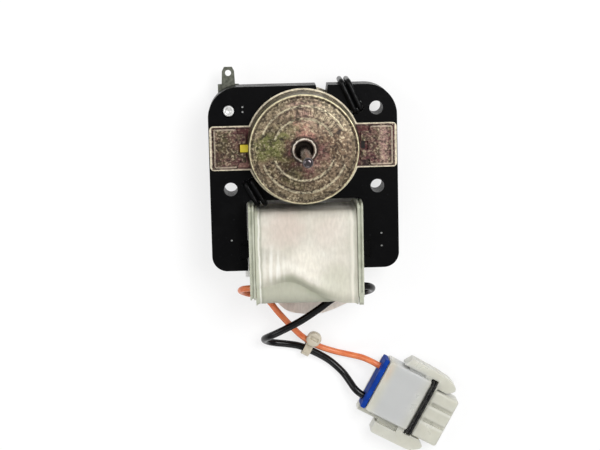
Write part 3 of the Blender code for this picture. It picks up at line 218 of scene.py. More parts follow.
class Look:
    """A procedural material on Object coordinates, whose base colour is painted over in steps."""

    def __init__(self, name):
        self.material = bpy.data.materials.new(name)
        self.material.use_nodes = True
        self.tree = self.material.node_tree
        self.out = self.tree.nodes["Principled BSDF"]
        self.place = self.tree.nodes.new("ShaderNodeTexCoord").outputs["Object"]
        self.base = None

    def set(self, **values):
        for name, value in values.items():
            feed(self.out.inputs[name.replace("_", " ")], value)

    def noise(self, scale, detail=3.0, vector=None, roughness=0.5):
        inputs = {"Vector": vector or self.place, "Scale": scale, "Detail": detail, "Roughness": roughness}
        return add_node(self.tree, "ShaderNodeTexNoise", inputs).outputs["Fac"]

    def axes(self):
        return add_node(self.tree, "ShaderNodeSeparateXYZ", {"Vector": self.place}).outputs[:]

    def paint(self, color, *shares):
        """Covers the base with a colour, as far as the product of the shares says."""
        self.base = mix(times(*shares), self.base, tint(color))

    def dabs(self, place, rows):
        """Round patches of colour, each with its middle, its inner and outer radius and its strength."""
        for x, y, inner, outer, share, color in rows:
            self.paint(color, spot(place, x, y, inner, outer), share)

    def stripes(self, value, rows, *shares):
        """Lines of colour, each with its two ends, the softness of its edge and its strength."""
        for low, high, edge, share, color in rows:
            self.paint(color, band(value, low, high, edge), share, *shares)

    def done(self):
        feed(self.out.inputs["Base Color"], self.base)
        return self.material


def plain(name, color, roughness, metallic, grain, relief, scale, **more):
    """A plain finish with a little uneven colour and a fine grain."""
    look = Look(name)
    cloud = look.noise(scale, 4.0)
    dark, light = [
        (*[min(1.0, c * share) for c in tint(color)[:3]], 1.0) for share in (1 - 2.5 * grain, 1 + 2.5 * grain)
    ]
    look.base = ramp(cloud, [(0.3, dark), (0.7, light)])
    rough = span(look.noise(scale * 0.4, 2.0), 0.3, 0.7, roughness - 0.05, roughness + 0.05)
    look.set(Metallic=metallic, Roughness=rough, Normal=bump(cloud, relief), **more)
    return look.done()


def lacquer():
    """Black varnish over laminations, whose edges show as fine lines on the stack's sides, with painted
    highlights at the dimples.
    """
    look = Look("black_lacquer")
    x, y, z = look.axes()
    geometry = add_node(look.tree, "ShaderNodeNewGeometry", {})
    upright = add_node(look.tree, "ShaderNodeSeparateXYZ", {"Vector": geometry.outputs["Normal"]}).outputs[2]
    side = span(size_of(upright), 0.45, 0.25)
    sheet = work("FRACT", times(z, SHEETS_PER_METRE))
    line = times(span(size_of(minus(sheet, 0.5)), 0.36, 0.5), side)
    cloud = look.noise(160.0, 6.0, roughness=0.65)
    look.base = ramp(cloud, [(0.3, (4, 4, 5)), (0.5, (8, 8, 9)), (0.72, (15, 15, 16))])
    look.paint((58, 60, 64), span(look.noise(1300.0), 0.68, 0.84, 0.0, 0.45))
    look.paint((34, 33, 34), side, 0.3)
    look.paint((4, 4, 5), line, 0.8)
    # Painted highlights: a small bright dot at the upper-right edge of each dimple, where light catches its
    # rim.
    place = flat(x, y)
    near = 1.0
    for px, py in DIMPLES:
        near = work("MINIMUM", apart(place, px + 0.3, py + 0.3), near)
    look.paint((206, 208, 206), span(near, 0.00022, 0.00034, 0.85, 0.0))
    look.set(Specular_IOR_Level=0.06, Roughness=span(cloud, 0.3, 0.7, 0.4, 0.24))
    lines = bump(times(line, -1.0), 0.00008, 0.8)
    look.set(Normal=bump(look.noise(420.0, 4.0), 0.00008, 0.6, lines))
    return look.done()


def plating(look, dirt, painted_glints):
    """Yellow zinc plating, with dark grains, and bright grains gathered in patches that are painted glints.
    """
    patch = look.noise(300.0, 4.0, roughness=0.7)
    fine = look.noise(680.0, 5.0, roughness=0.75)
    speck = look.noise(1250.0, 4.0, roughness=0.7)
    look.paint((40, 28, 20), span(fine, 0.53, 0.44), span(patch, 0.62, 0.4, 0.4, 1.0), dirt)
    look.paint((20, 14, 11), span(speck, 0.46, 0.38), 0.8, dirt)
    # Painted glints: bright grains that stand in for light caught by the plating.
    look.paint((212, 196, 164), span(speck, 0.54, 0.61), span(patch, 0.38, 0.6, 0.3, 1.0), painted_glints)
    look.set(Metallic=0.5, Roughness=span(fine, 0.3, 0.7, 0.5, 0.34))
    look.set(Normal=bump(plus(times(speck, 0.5), fine), 0.00012, 0.8))
    return look.done()


def warped(look, x, y, amount, scale):
    """The place on the flat, wandering a little, so that patches of colour have no even edge."""
    ends = (0.25, 0.75, -amount * MM, amount * MM)
    shifts = [span(look.noise(size, 4.0, roughness=0.65), *ends) for size in (scale, scale * 1.3)]
    return flat(plus(x, shifts[0]), plus(y, shifts[1]))


def cap_plating():
    """Plating of a drawn cup: olive to one side, maroon round the hub, brown and beige elsewhere."""
    look = Look("cap_zinc")
    x, y, z = look.axes()
    radius = apart(flat(x, y), 0, 0)
    place = warped(look, x, y, 4.2, 230.0)
    stops = [(0.0, (122, 108, 84)), (0.45, (134, 112, 91)), (1.0, (142, 128, 103))]
    look.base = ramp(span(y, -0.017, 0.017), stops)
    patches = (
        (9.5, 11.5, 1.0, 8.5, 0.5, (124, 114, 94)),
        (6.0, 5.0, 1.0, 6.0, 0.5, (116, 88, 78)),
        (-1.5, 12.5, 1.0, 7.5, 0.6, (138, 102, 98)),
        (9.0, -9.5, 1.0, 8.0, 0.5, (144, 123, 100)),
        (10.0, 1.0, 1.0, 8.0, 0.8, (88, 62, 38)),
        (-1.0, -2.2, 4.2, 9.5, 0.9, (99, 55, 55)),
        (-4.4, -4.4, 1.0, 5.0, 0.8, (52, 30, 26)),
        (-10.6, 0.6, 1.0, 9.0, 0.85, (104, 110, 54)),
        (-3.0, -8.5, 1.0, 5.5, 0.6, (97, 97, 58)),
        (-3.4, 8.0, 1.0, 5.0, 0.5, (109, 104, 65)),
        (0.6, 5.4, 0.8, 4.5, 0.75, (200, 144, 128)),
        (3.9, -3.9, 0.5, 3.0, 0.5, (160, 122, 112)),
    )
    look.dabs(place, patches)
    turned = work("ARCTAN2", y, x)
    blurred = plus(radius, span(look.noise(900.0), 0.25, 0.75, -0.0002, 0.0002))
    edges = plus(band(blurred, 9.5, 10.2, 0.12), band(blurred, 13.5, 14.2, 0.12))
    arc_shade = plus(band(blurred, 10.3, 10.8, 0.2), band(blurred, 12.9, 13.4, 0.2))
    sweeps = []
    for middle, half in ((92.5, 67.5), (-91.0, 69.0)):
        ends = [math.cos(math.radians(half + more)) for more in (2, -1)]
        sweeps.append(span(work("COSINE", minus(turned, math.radians(middle))), *ends))
    arcs = plus(*sweeps)
    # Painted shade beside the raised arcs and a painted highlight on their tops.
    look.paint((62, 46, 34), arc_shade, arcs, 0.7)
    look.paint((222, 210, 178), edges, arcs, 0.75)
    # Rings on the face: the dark one in the rim's groove and the dark one round the hub's foot are painted
    # shade; the bright ones on the rim and on the hub's top are painted highlights.
    lines = (
        (15.3, 16.2, 0.25, 0.4, (118, 108, 84)),
        (16.25, 16.7, 0.12, 0.85, (44, 36, 24)),
        (17.15, 17.7, 0.08, 0.85, (232, 224, 184)),
        (2.9, 4.1, 0.1, 0.8, (88, 76, 66)),
        (3.38, 3.72, 0.12, 0.9, (224, 216, 202)),
        (3.95, 4.5, 0.2, 0.75, (34, 24, 20)),
    )
    look.stripes(blurred, lines, span(z, 0.0302, 0.0304))
    # Painted shade: the side wall below the face's edge is darkened.
    look.paint((66, 60, 45), span(z, 0.0304, 0.0300, 0.0, 0.8), span(radius, 0.0165, 0.0172))
    # Painted shade: the wall of the hub's hole is painted near black.
    hole = span(radius, 0.0029, 0.00305, 1.0, 0.0)
    look.paint((6, 5, 5), hole)
    calm = most(band(radius, 3.2, 3.8, 0.1), band(radius, 17.1, 17.7, 0.1))
    # Fewer painted glints near the hub, and none in its hole.
    painted_glints = times(span(spot(place, -1.0, -1.5, 4.5, 9.5), 0.0, 1.0, 0.7, 0.35), one_less(hole))
    return plating(look, span(calm, 0.0, 1.0, 0.9, 0.3), painted_glints)


def strap_plating():
    """Plating of the bearing straps: pink and olive, with painted highlights on the edges, and maroon beside
    the neck that is partly painted shade.
    """
    look = Look("strap_zinc")
    x, y, z = look.axes()
    place = flat(x, y)
    far, away = (size_of(x), size_of(y))
    grain = look.noise(300.0, 5.0, roughness=0.75)
    stops = [(0.3, (38, 22, 20)), (0.42, (92, 50, 54)), (0.52, (112, 86, 74)), (0.6, (62, 58, 32))]
    look.base = ramp(grain, stops + [(0.74, (134, 114, 100))])
    olive = spot(warped(look, far, y, 1.6, 260.0), 26.0, 1.0, 1.0, 5.5)
    look.paint((74, 70, 40), olive, span(x, -0.015, 0.015, 0.75, 0.2))
    look.paint((176, 142, 132), band(x, 24.6, 27.2, 0.6), 0.7)
    # The lower level beside the necks: maroon, partly the plating's tint and partly painted shade.
    low = span(z, 0.02305, 0.02295)
    look.paint((82, 34, 38), low, 0.85)
    # A painted highlight on one side of the lower level and painted shade on the other.
    for px, py, share, color in ((20.5, -5.0, 0.85, (26, 14, 12)), (-20.0, -5.0, 0.8, (158, 118, 108))):
        look.paint(color, spot(place, px, py, 1.0, 3.2), low, share)
    # Painted shade: the floor of the notch is painted near black, so that it looks like a deep hole.
    slot = times(band(x, 18.6, 19.9, 0.1), band(y, -1.1, 1.4, 0.15))
    look.paint((12, 9, 8), slot)
    # Painted highlights on the lower level beside the notch.
    for px, py in ((19.0, -3.5), (20.4, -4.1), (19.2, 2.6), (20.4, 2.2)):
        look.paint((214, 200, 176), spot(place, px, py, 0.2, 0.9), low, 0.8)
    # Painted highlight on the pads' raised edges.
    pad = times(most(span(away, 0.0057, 0.0059), span(far, 0.0282, 0.0284)), span(z, 0.02305, 0.02315))
    look.paint((204, 192, 170), pad, 0.5)
    # Painted shade at the foot of the edges.
    look.paint((26, 18, 16), most(band(away, 6.25, 6.6, 0.1), band(far, 28.75, 29.1, 0.1)), low, 0.8)
    # Painted highlight along the strap's outer edge.
    rim_highlight = most(span(away, 0.0067, 0.0069), span(far, 0.0294, 0.0296))
    look.paint((232, 222, 196), rim_highlight, low, 0.9)
    calm = most(times(low, span(far, 0.0212, 0.0206)), most(pad, rim_highlight))
    # Fewer painted glints on the calm parts, and none in the notch.
    painted_glints = times(span(calm, 0.0, 1.0, 0.6, 0.25), one_less(slot))
    return plating(look, span(calm, 0.0, 1.0, 0.95, 0.4), painted_glints)


def cloth_tape(name, fold):
    """White cloth tape with a fine weave, pinkish above and greyish green towards its loose ends, with
    painted shade and highlights at its fold and edges.
    """
    look = Look(name)
    x, y, z = look.axes()
    warp = work("SINE", times(x, 2 * math.pi * WARP_PER_METRE))
    weft = work("SINE", times(plus(y, z), 2 * math.pi * WEFT_PER_METRE))
    weave = times(warp, weft)
    place = warped(look, x, y, 2.2, 110.0)
    stops = [(0.3, (200, 196, 182)), (0.5, (214, 209, 197)), (0.7, (225, 222, 211))]
    look.base = ramp(look.noise(90.0, 5.0, roughness=0.6), stops)
    top, foot = (-38, -52)
    places = [(at + COIL_EDGE) / (2 * COIL_EDGE) for at, end in FOLD_ENDS]
    levels = [[(top - end) / (top - foot)] * 3 + [1] for at, end in FOLD_ENDS]
    crease = ramp(span(x, -COIL_EDGE * MM, COIL_EDGE * MM), list(zip(places, levels)), "EASE")
    crease = span(crease, 0.0, 1.0, top * MM, foot * MM)
    past = minus(y, crease)
    deep = span(size_of(plus(x, 0.0005)), 0.005, 0.0125, 1.0, 0.35, True)
    low = span(y, -0.047, -0.038, 1.0, 0.0, True)
    # Patches of tone across the front; the bright one in the middle is a painted highlight.
    spots = [
        (-6.5, -25.5, 2.0, 9.0, 0.6, (210, 192, 182)),
        (7.0, -27.0, 1.0, 7.0, 0.4, (216, 200, 190)),
        (-13.5, -34.0, 1.5, 4.5, 0.6, (186, 184, 172)),
        (1.0, -36.5, 1.0, 8.0, 0.7, (240, 235, 222)),
    ]
    if fold:
        spots.append((9.5, -43.5, 2.0, 7.5, 0.6, (200, 200, 182)))
        look.paint((210, 206, 190), low, 0.25)
        # Painted shade where the outer layer turns under at its fold, and a painted highlight on the rise
        # above it.
        look.paint((150, 154, 132), span(past, 0.0024, 0.0002, 0.0, 1.0, True), deep, 0.75)
        look.paint((246, 243, 232), band(past, 2.6, 5.6, 1.2), deep, 0.6)
    else:
        # Darker towards the bottom: partly the cloth's grey-green and partly painted shade under the fold.
        look.paint((172, 174, 156), low, 0.85)
        # Painted shade just below the fold.
        look.paint((136, 142, 120), span(past, -0.0042, 0.0, 0.0, 1.0, True), deep, 0.7)
        # Painted light on the tail, which lies in the coil's shadow.
        look.paint((246, 236, 226), span(y, -0.0496, -0.0478, 1.0, 0.0, True), span(z, 0.019, 0.016))
    look.dabs(place, spots)
    # Painted shade: darker towards both sides, next to the flanges.
    look.paint((184, 186, 171), span(size_of(plus(x, 0.0004)), 0.0128, 0.0162, 0.0, 0.6, True))
    comb = look.noise(60.0, 3.0, flat(times(x, 14.0), y))
    thread = look.noise(420.0, 3.0, flat(times(x, 3.0), y))
    look.paint((160, 154, 142), span(thread, 0.35, 0.65, 0.22, 0.0))
    streaks = times(band(x, -13.6, -7.5, 1.6), band(y, -42.5, -32.5, 2.5))
    look.paint((246, 245, 238), streaks, span(comb, 0.48, 0.62), 0.55)
    # Along the left edge the cloth turns up: a greyish strip at the very edge, then a painted highlight on
    # the turned-up edge and a painted shade line inside it; a painted highlight along the right edge.
    wander = plus(x, span(look.noise(150.0), 0.25, 0.75, -0.0003, 0.0003))
    look.paint((196, 200, 180), span(wander, -0.0151, -0.0154), 0.6)
    lines = (
        (-15.35, -14.9, 0.15, 0.75, (247, 246, 238)),
        (-14.75, -14.25, 0.2, 0.5, (148, 150, 134)),
        (14.3, 15.2, 0.3, 0.45, (244, 238, 228)),
    )
    look.stripes(wander, lines)
    look.paint((178, 172, 160), span(weave, -1.0, 1.0, 0.1, 0.0))
    look.set(Roughness=0.72, Specular_IOR_Level=0.3)
    look.set(Subsurface_Weight=0.1, Subsurface_Radius=(0.6, 0.5, 0.4), Subsurface_Scale=0.0006)
    look.set(Normal=bump(weave, 0.00002, 0.5, bump(look.noise(260.0, 4.0), 0.00016, 0.6)))
    return look.done()


def moulded(name, color, shade, scale, translucent):
    """Milky moulded nylon."""
    look = Look(name)
    cloud = look.noise(scale, 4.0, roughness=0.6)
    look.base = ramp(cloud, [(0.3, shade), (0.68, color)])
    look.set(Roughness=span(cloud, 0.3, 0.7, 0.44, 0.32))
    look.set(Subsurface_Weight=translucent, Subsurface_Radius=(1.0, 0.95, 0.8), Subsurface_Scale=0.001)
    look.set(Normal=bump(look.noise(700.0), 0.00002, 0.6))
    return look.done()


def enamel_wire():
    """Red-brown enamelled turns lying side by side across the coil."""
    look = Look("enamel_wire")
    turn = work("SINE", times(look.axes()[0], 2 * math.pi * TURNS_PER_METRE))
    look.base = ramp(look.noise(300.0), [(0.3, (96, 42, 22)), (0.7, (150, 74, 40))])
    look.paint((40, 16, 8), span(turn, -1.0, 0.0, 0.75, 0.0))
    look.set(Metallic=0.55, Roughness=0.32, Normal=bump(turn, 0.0001, 0.9))
    return look.done()


def insulation(name, color, shade, gloss, **more):
    """A lead's soft jacket."""
    look = Look(name)
    cloud = look.noise(380.0, 4.0, roughness=0.6)
    look.base = ramp(cloud, [(0.32, shade), (0.68, color)])
    look.set(Roughness=span(cloud, 0.3, 0.7, gloss + 0.08, gloss - 0.06))
    look.set(Normal=bump(look.noise(900.0, 2.0), 0.00003, 0.5), **more)
    return look.done()


def lumpy_rubber():
    """Black rubber of the plug's gasket, wet looking and uneven."""
    look = Look("black_rubber")
    look.base = tint((6, 6, 6))
    look.paint((74, 74, 68), span(look.noise(2600.0), 0.54, 0.68, 0.0, 0.8))
    look.set(Roughness=0.35, Specular_IOR_Level=0.3)
    look.set(Normal=bump(look.noise(1100.0, 2.0), 0.0006))
    return look.done()


def clear_nylon():
    """Milky see-through nylon of the plug, bluish over the body and warmer at its ends."""
    look = Look("plug_nylon")
    ways = []
    for turn in (PLUG_TURN, PLUG_TURN + math.pi / 2):
        way = (math.cos(turn), math.sin(turn), 0)
        start = (way[0] * PLUG_AT[0] + way[1] * PLUG_AT[1]) * MM
        inputs = {0: look.place, 1: way}
        made = add_node(look.tree, "ShaderNodeVectorMath", inputs, operation="DOT_PRODUCT")
        ways.append(minus(made.outputs["Value"], start))
    along, across = ways
    cloud = look.noise(180.0, 4.0, roughness=0.6)
    look.base = ramp(cloud, [(0.3, (207, 206, 193)), (0.7, (221, 220, 207))])
    body = times(span(along, 0.002, 0.006, 0.0, 1.0, True), span(along, 0.019, 0.013, 0.0, 1.0, True))
    look.paint((203, 205, 207), body, span(size_of(across), 0.0112, 0.0088, 0.2, 1.0, True), 0.8)
    look.paint((226, 192, 168), band(along, 1.9, 3.6, 0.9), band(across, 2.5, 8.0, 2.0), 0.4)
    # Painted shade in the towers' grooves, fading along them, and a painted highlight on a ridge beside each.
    behind = span(along, 0.0192, 0.0198)
    fading = span(along, 0.0205, 0.028, 0.4, 0.1)
    for middle in (2.22, -3.62):
        look.paint((140, 140, 126), band(across, middle - 0.6, middle + 0.6, 0.4), behind, fading)
        look.paint((240, 239, 230), band(across, middle - 1.6, middle - 0.9, 0.35), behind, 0.6)
    look.set(Roughness=span(cloud, 0.3, 0.7, 0.36, 0.26))
    look.set(Transmission_Weight=0.2, IOR=1.35)
    look.set(Subsurface_Weight=0.5, Subsurface_Radius=(1.0, 0.96, 0.92), Subsurface_Scale=0.003)
    look.set(Normal=bump(look.noise(420.0, 4.0, roughness=0.6), 0.00009, 0.6))
    return look.done()


looks = {
    "lacquer": lacquer(),
    "cap": cap_plating(),
    "strap": strap_plating(),
    "tape": cloth_tape("cloth_tape_inner", False),
    "tape_fold": cloth_tape("cloth_tape_outer", True),
    "bobbin": moulded("bobbin_nylon", (188, 190, 174), (158, 161, 142), 220.0, 0.25),
    "wire": enamel_wire(),
    "shading": plain("lacquered_wire", (7, 7, 8), 0.3, 0.0, 0.15, 0.00016, 700.0, Specular_IOR_Level=0.16),
    "steel": plain("shaft_steel", (94, 88, 90), 0.16, 1.0, 0.05, 0.00001, 1400.0),
    "tin": plain("tinned_steel", (94, 96, 86), 0.46, 0.7, 0.16, 0.00006, 900.0),
    "rivet": plain("rivet_metal", (214, 214, 212), 0.4, 0.6, 0.1, 0.00006, 900.0),
    "aluminium": plain("cast_aluminium", (166, 166, 168), 0.42, 0.95, 0.06, 0.00003, 800.0),
    "bronze": plain("sintered_bronze", (34, 26, 20), 0.6, 0.8, 0.1, 0.00004, 1600.0),
    "felt": plain("oil_felt", (176, 160, 128), 0.95, 0.0, 0.12, 0.00012, 1400.0),
    "yellow": moulded("yellow_acetal", (232, 214, 60), (214, 190, 40), 220.0, 0.1),
    "nylon": moulded("cream_nylon", (208, 200, 182), (186, 176, 156), 260.0, 0.25),
    "orange": insulation("orange_jacket", (230, 134, 84), (210, 102, 56), 0.3),
    "black": insulation("black_jacket", (7, 7, 8), (3, 3, 4), 0.22, Specular_IOR_Level=0.3),
    "blue": insulation("blue_silicone", (14, 64, 160), (8, 44, 124), 0.6, Specular_IOR_Level=0.1),
    "rubber": lumpy_rubber(),
    "plug": clear_nylon(),
}

# Shapes


def arc(cx, cy, radius, start, end, steps):
    angles = [math.radians(start + (end - start) * i / steps) for i in range(steps + 1)]
    return [(cx + radius * math.cos(a), cy + radius * math.sin(a)) for a in angles]


def circle(cx, cy, radius, steps):
    return arc(cx, cy, radius, 0, 360 - 360 / steps, steps - 1)


def rounded_box(x0, y0, x1, y1, radius, steps=6):
    return (
        arc(x1 - radius, y0 + radius, radius, -90, 0, steps)
        + arc(x1 - radius, y1 - radius, radius, 0, 90, steps)
        + arc(x0 + radius, y1 - radius, radius, 90, 180, steps)
        + arc(x0 + radius, y0 + radius, radius, 180, 270, steps)
    )


def link(name, mesh):
    obj = bpy.data.objects.new(name, mesh)
    bpy.context.scene.collection.objects.link(obj)
    return obj


def from_bmesh(name, bm):
    bmesh.ops.recalc_face_normals(bm, faces=bm.faces)
    mesh = bpy.data.meshes.new(name)
    bm.to_mesh(mesh)
    bm.free()
    return link(name, mesh)


def add_spline(curve, points, cyclic):
    spline = curve.splines.new("POLY")
    spline.points.add(len(points) - 1)
    for point, (x, y, z) in zip(spline.points, points):
        point.co = (x * MM, y * MM, z * MM, 1.0)
    spline.use_cyclic_u = cyclic
    return spline


def moved(x, y, z=0.0):
    return Matrix.Translation((x * MM, y * MM, z * MM))


def plate(name, loops, low, high):
    """A flat outline with holes, extruded from level low to level high."""
    curve = bpy.data.curves.new(name, "CURVE")
    curve.dimensions = "2D"
    curve.fill_mode = "BOTH"
    curve.extrude = (high - low) / 2 * MM
    for loop in loops:
        add_spline(curve, [(x, y, 0.0) for x, y in loop], True)
    guide = link(name + "_outline", curve)
    guide.location.z = (low + high) / 2 * MM
    bpy.context.view_layer.update()
    graph = bpy.context.evaluated_depsgraph_get()
    mesh = bpy.data.meshes.new_from_object(guide.evaluated_get(graph))
    mesh.transform(guide.matrix_world)
    bpy.data.objects.remove(guide, do_unlink=True)
    bm = bmesh.new()
    bm.from_mesh(mesh)
    bpy.data.meshes.remove(mesh)
    bmesh.ops.remove_doubles(bm, verts=bm.verts, dist=1e-6)
    return from_bmesh(name, bm)


def block(name, low, high, bevel=0.0):
    bm = bmesh.new()
    bmesh.ops.create_cube(bm, size=1.0)
    bmesh.ops.scale(bm, vec=[(b - a) * MM for a, b in zip(low, high)], verts=bm.verts)
    if bevel:
        round_off = {"segments": 3, "profile": 0.5, "affect": "EDGES", "material": -1}
        bmesh.ops.bevel(bm, geom=bm.edges[:], offset=bevel * MM, **round_off)
    bmesh.ops.translate(bm, vec=[(a + b) / 2 * MM for a, b in zip(low, high)], verts=bm.verts)
    return from_bmesh(name, bm)


def rod(name, x, y, radius, low, high, steps=32):
    bm = bmesh.new()
    sizes = {"radius1": radius * MM, "radius2": radius * MM, "depth": (high - low) * MM}
    place = moved(x, y, (low + high) / 2)
    bmesh.ops.create_cone(bm, cap_ends=True, segments=steps, matrix=place, **sizes)
    return from_bmesh(name, bm)


def lathe(name, profile, steps, relief=None):
    """Spins (radius, level) points round Z. An open profile starts and ends on the axis."""
    bm = bmesh.new()
    verts = [bm.verts.new((r * MM, 0, z * MM)) for r, z in profile]
    edges = [bm.edges.new(pair) for pair in zip(verts, verts[1:])]
    if profile[0][0] > 0:
        edges.append(bm.edges.new((verts[-1], verts[0])))
    bmesh.ops.spin(bm, geom=verts + edges, axis=(0, 0, 1), angle=2 * math.pi, steps=steps, use_merge=True)
    bmesh.ops.remove_doubles(bm, verts=bm.verts, dist=1e-7)
    if relief:
        for vert in bm.verts:
            x, y, z = vert.co / MM
            vert.co.z += relief(math.hypot(x, y), math.atan2(y, x), z) * MM
    return from_bmesh(name, bm)


def bake(obj):
    """The object's modifiers taken into its mesh."""
    bpy.context.view_layer.update()
    graph = bpy.context.evaluated_depsgraph_get()
    mesh = bpy.data.meshes.new_from_object(obj.evaluated_get(graph))
    obj.modifiers.clear()
    obj.data = mesh
    return obj


def combine(obj, others, operation):
    for other in others:
        modifier = obj.modifiers.new("Boolean", "BOOLEAN")
        modifier.operation = operation
        modifier.solver = "EXACT"
        modifier.object = other
    bake(obj)
    for other in others:
        bpy.data.objects.remove(other, do_unlink=True)
    return obj


def cut(obj, *others):
    return combine(obj, others, "DIFFERENCE")


def join(obj, *others):
    return combine(obj, others, "UNION")


def soften(obj, width, segments=2):
    """Rounds the edges of a built-up shape."""
    bm = bmesh.new()
    bm.from_mesh(obj.data)
    bmesh.ops.remove_doubles(bm, verts=bm.verts, dist=2e-6)
    bmesh.ops.dissolve_limit(bm, angle_limit=math.radians(0.6), verts=bm.verts, edges=bm.edges)
    bm.to_mesh(obj.data)
    bm.free()
    modifier = obj.modifiers.new("Round", "BEVEL")
    modifier.width = width * MM
    modifier.segments = segments
    modifier.limit_method = "ANGLE"
    modifier.angle_limit = math.radians(32.0)
    return bake(obj)


def along_x(obj):
    obj.data.transform(Matrix(((0, 0, 1, 0), (1, 0, 0, 0), (0, 1, 0, 0), (0, 0, 0, 1))))
    return obj


def mirrored(obj):
    """The shape turned over about the stack's middle, from the front face to the rear face."""
    bm = bmesh.new()
    bm.from_mesh(obj.data)
    bmesh.ops.scale(bm, vec=(1, 1, -1), verts=bm.verts)
    bmesh.ops.translate(bm, vec=(0, 0, 2 * STACK_MIDDLE * MM), verts=bm.verts)
    bmesh.ops.recalc_face_normals(bm, faces=bm.faces)
    bm.to_mesh(obj.data)
    bm.free()
    return obj


def tube(name, points, radius, cyclic=False):
    curve = bpy.data.curves.new(name, "CURVE")
    curve.dimensions = "3D"
    curve.bevel_depth = radius * MM
    curve.bevel_resolution = 6
    curve.use_fill_caps = True
    add_spline(curve, points, cyclic).use_smooth = True
    return link(name, curve)


def dress(obj, look, node=None, angle=34.0, even=True, body="stator"):
    """Gives a finished shape its material and its place in the frame."""
    obj.data.materials.clear()
    obj.data.materials.append(looks[look])
    if obj.type == "MESH":
        obj.data.shade_smooth()
        obj.data.set_sharp_from_angle(angle=math.radians(angle))
        if even:
            obj.modifiers.new("Even", "WEIGHTED_NORMAL").keep_sharp = True
            bake(obj)
    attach(obj, body)
    if node:
        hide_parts(node)
    return obj


# Leads, tie and plug

ORANGE_ROUTE = (
    (-16.75, -46.25, 20.95), (-18.4, -46.3, 20.7), (-20.6, -46.8, 19.0), (-21.6, -47.8, 16.2),
    (-21.0, -48.9, 13.2), (-19.2, -50.0, 11.0), (-16.6, -50.7, 10.0), (-14.0, -51.7, 9.8),
    (-12.0, -53.4, 9.6), (-9.8, -56.5, 8.8), (-7.2, -59.9, 7.2), (-4.6, -63.2, 5.2), (-1.8, -66.4, 3.4),
    (1.5, -69.1, 2.4), (5.0, -71.1, 1.6), (9.8, -72.9, 1.1), (14.6, -74.0, 1.7), (18.8, -74.7, 3.6),
    (21.9, -75.8, 5.2), (23.9, -76.9, 5.5), (28.06, -79.19, 5.5),
)
BLACK_ROUTE = (
    (16.75, -46.4, 21.5), (18.1, -46.4, 21.4), (20.4, -46.9, 19.9), (21.7, -48.1, 16.9),
    (20.9, -49.5, 13.7), (18.6, -50.4, 11.9), (15.6, -50.8, 11.4), (12.4, -51.1, 11.7), (8.8, -52.5, 11.8),
    (4.0, -55.9, 11.8), (-2.1, -59.8, 11.6), (-8.9, -63.2, 11.4), (-12.3, -65.0, 9.9), (-14.1, -66.6, 6.5),
    (-13.5, -68.0, 3.6), (-10.9, -69.1, 1.7), (-6.3, -69.8, 1.3), (-2.6, -70.4, 1.8), (0.3, -71.45, 2.4),
    (4.2, -73.5, 1.9), (8.3, -76.3, 1.4), (12.2, -80.0, 1.9), (14.5, -83.0, 3.5), (16.1, -85.2, 4.9),
    (18.2, -87.05, 5.5), (22.38, -89.43, 5.5),
)
ROUTE_STEPS = 6


def route_points(route):
    """Points of a smooth curve through the route."""
    knots = [Vector(point) for point in route]
    padded = [2 * knots[0] - knots[1], *knots, 2 * knots[-1] - knots[-2]]
    found = []
    for i in range(1, len(padded) - 2):
        before, start, end, after = padded[i - 1 : i + 3]
        bend = 2 * before - 5 * start + 4 * end - after
        twist = 3 * start - before - 3 * end + after
        for step in range(ROUTE_STEPS):
            t = step / ROUTE_STEPS
            found.append((2 * start + (end - before) * t + bend * t * t + twist * t * t * t) / 2)
    return found + [knots[-1]]


def lead(name, route, radius, look, node):
    points = route_points(route)
    piece = dress(tube(name, points, radius), look, node)
    return piece, points[0], sum((b - a).length for a, b in zip(points, points[1:]))


PLUG_SLANT = Matrix.Rotation(PLUG_TURN, 4, "Z")
PLUG_PLACE = moved(*PLUG_AT) @ PLUG_SLANT
TIE_PLACE = moved(0.9, -70.27, 2.4) @ PLUG_SLANT
# The plug before it is turned: x along it from the wires' end, y across it
AXIS = 5.5
BASE = 0.5
TOP = 10.5
PLUG_MIDDLE = -0.7
BODY_END = 17.4
GASKET_START = BODY_END + SEAT
GASKET_END = GASKET_START + 1.7
GASKET_HALF = 10.3
ROWS = [PLUG_MIDDLE + 5.85 * n for n in (-1, 0, 1)]


def bar_along(name, offset, radius, start, end):
    bar = along_x(rod(name, offset, 0, radius, start, end, 40))
    bar.data.transform(moved(0, 0, AXIS))
    return bar


def latch(name, side, start, end, body, wall, tower, reach, slant, bow):
    """A latch arm beside the plug's body, bowed round the gasket's end."""
    inner = wall + 0.7
    outer = wall + reach
    beside = GASKET_HALF + 0.35
    past = GASKET_END + 0.35
    outline = [
        (start, inner),
        (start + slant, outer - 0.7),
        (start + slant + 0.2, outer - 0.2),
        (start + slant + 0.7, outer),
        (17.6, outer - bow / 3),
        (end - 3.4, outer - bow),
        (end - 1.2, outer - 1.7),
        (end - 0.3, outer - 2.5),
        (end, outer - 3.4),
        (end - 0.6, tower + 1.7),
        (end - 2.2, tower + 0.5),
        (past, tower + 0.5),
        (past, beside),
        (BODY_END - SEAT, beside),
        (BODY_END - SEAT, body - 0.6),
        (14.8, body - 0.6),
        (14.8, inner),
    ]
    points = [(u, PLUG_MIDDLE + side * v) for u, v in outline]
    if side < 0:
        points.reverse()
    return plate(name, [points], 2.2, 8.8)


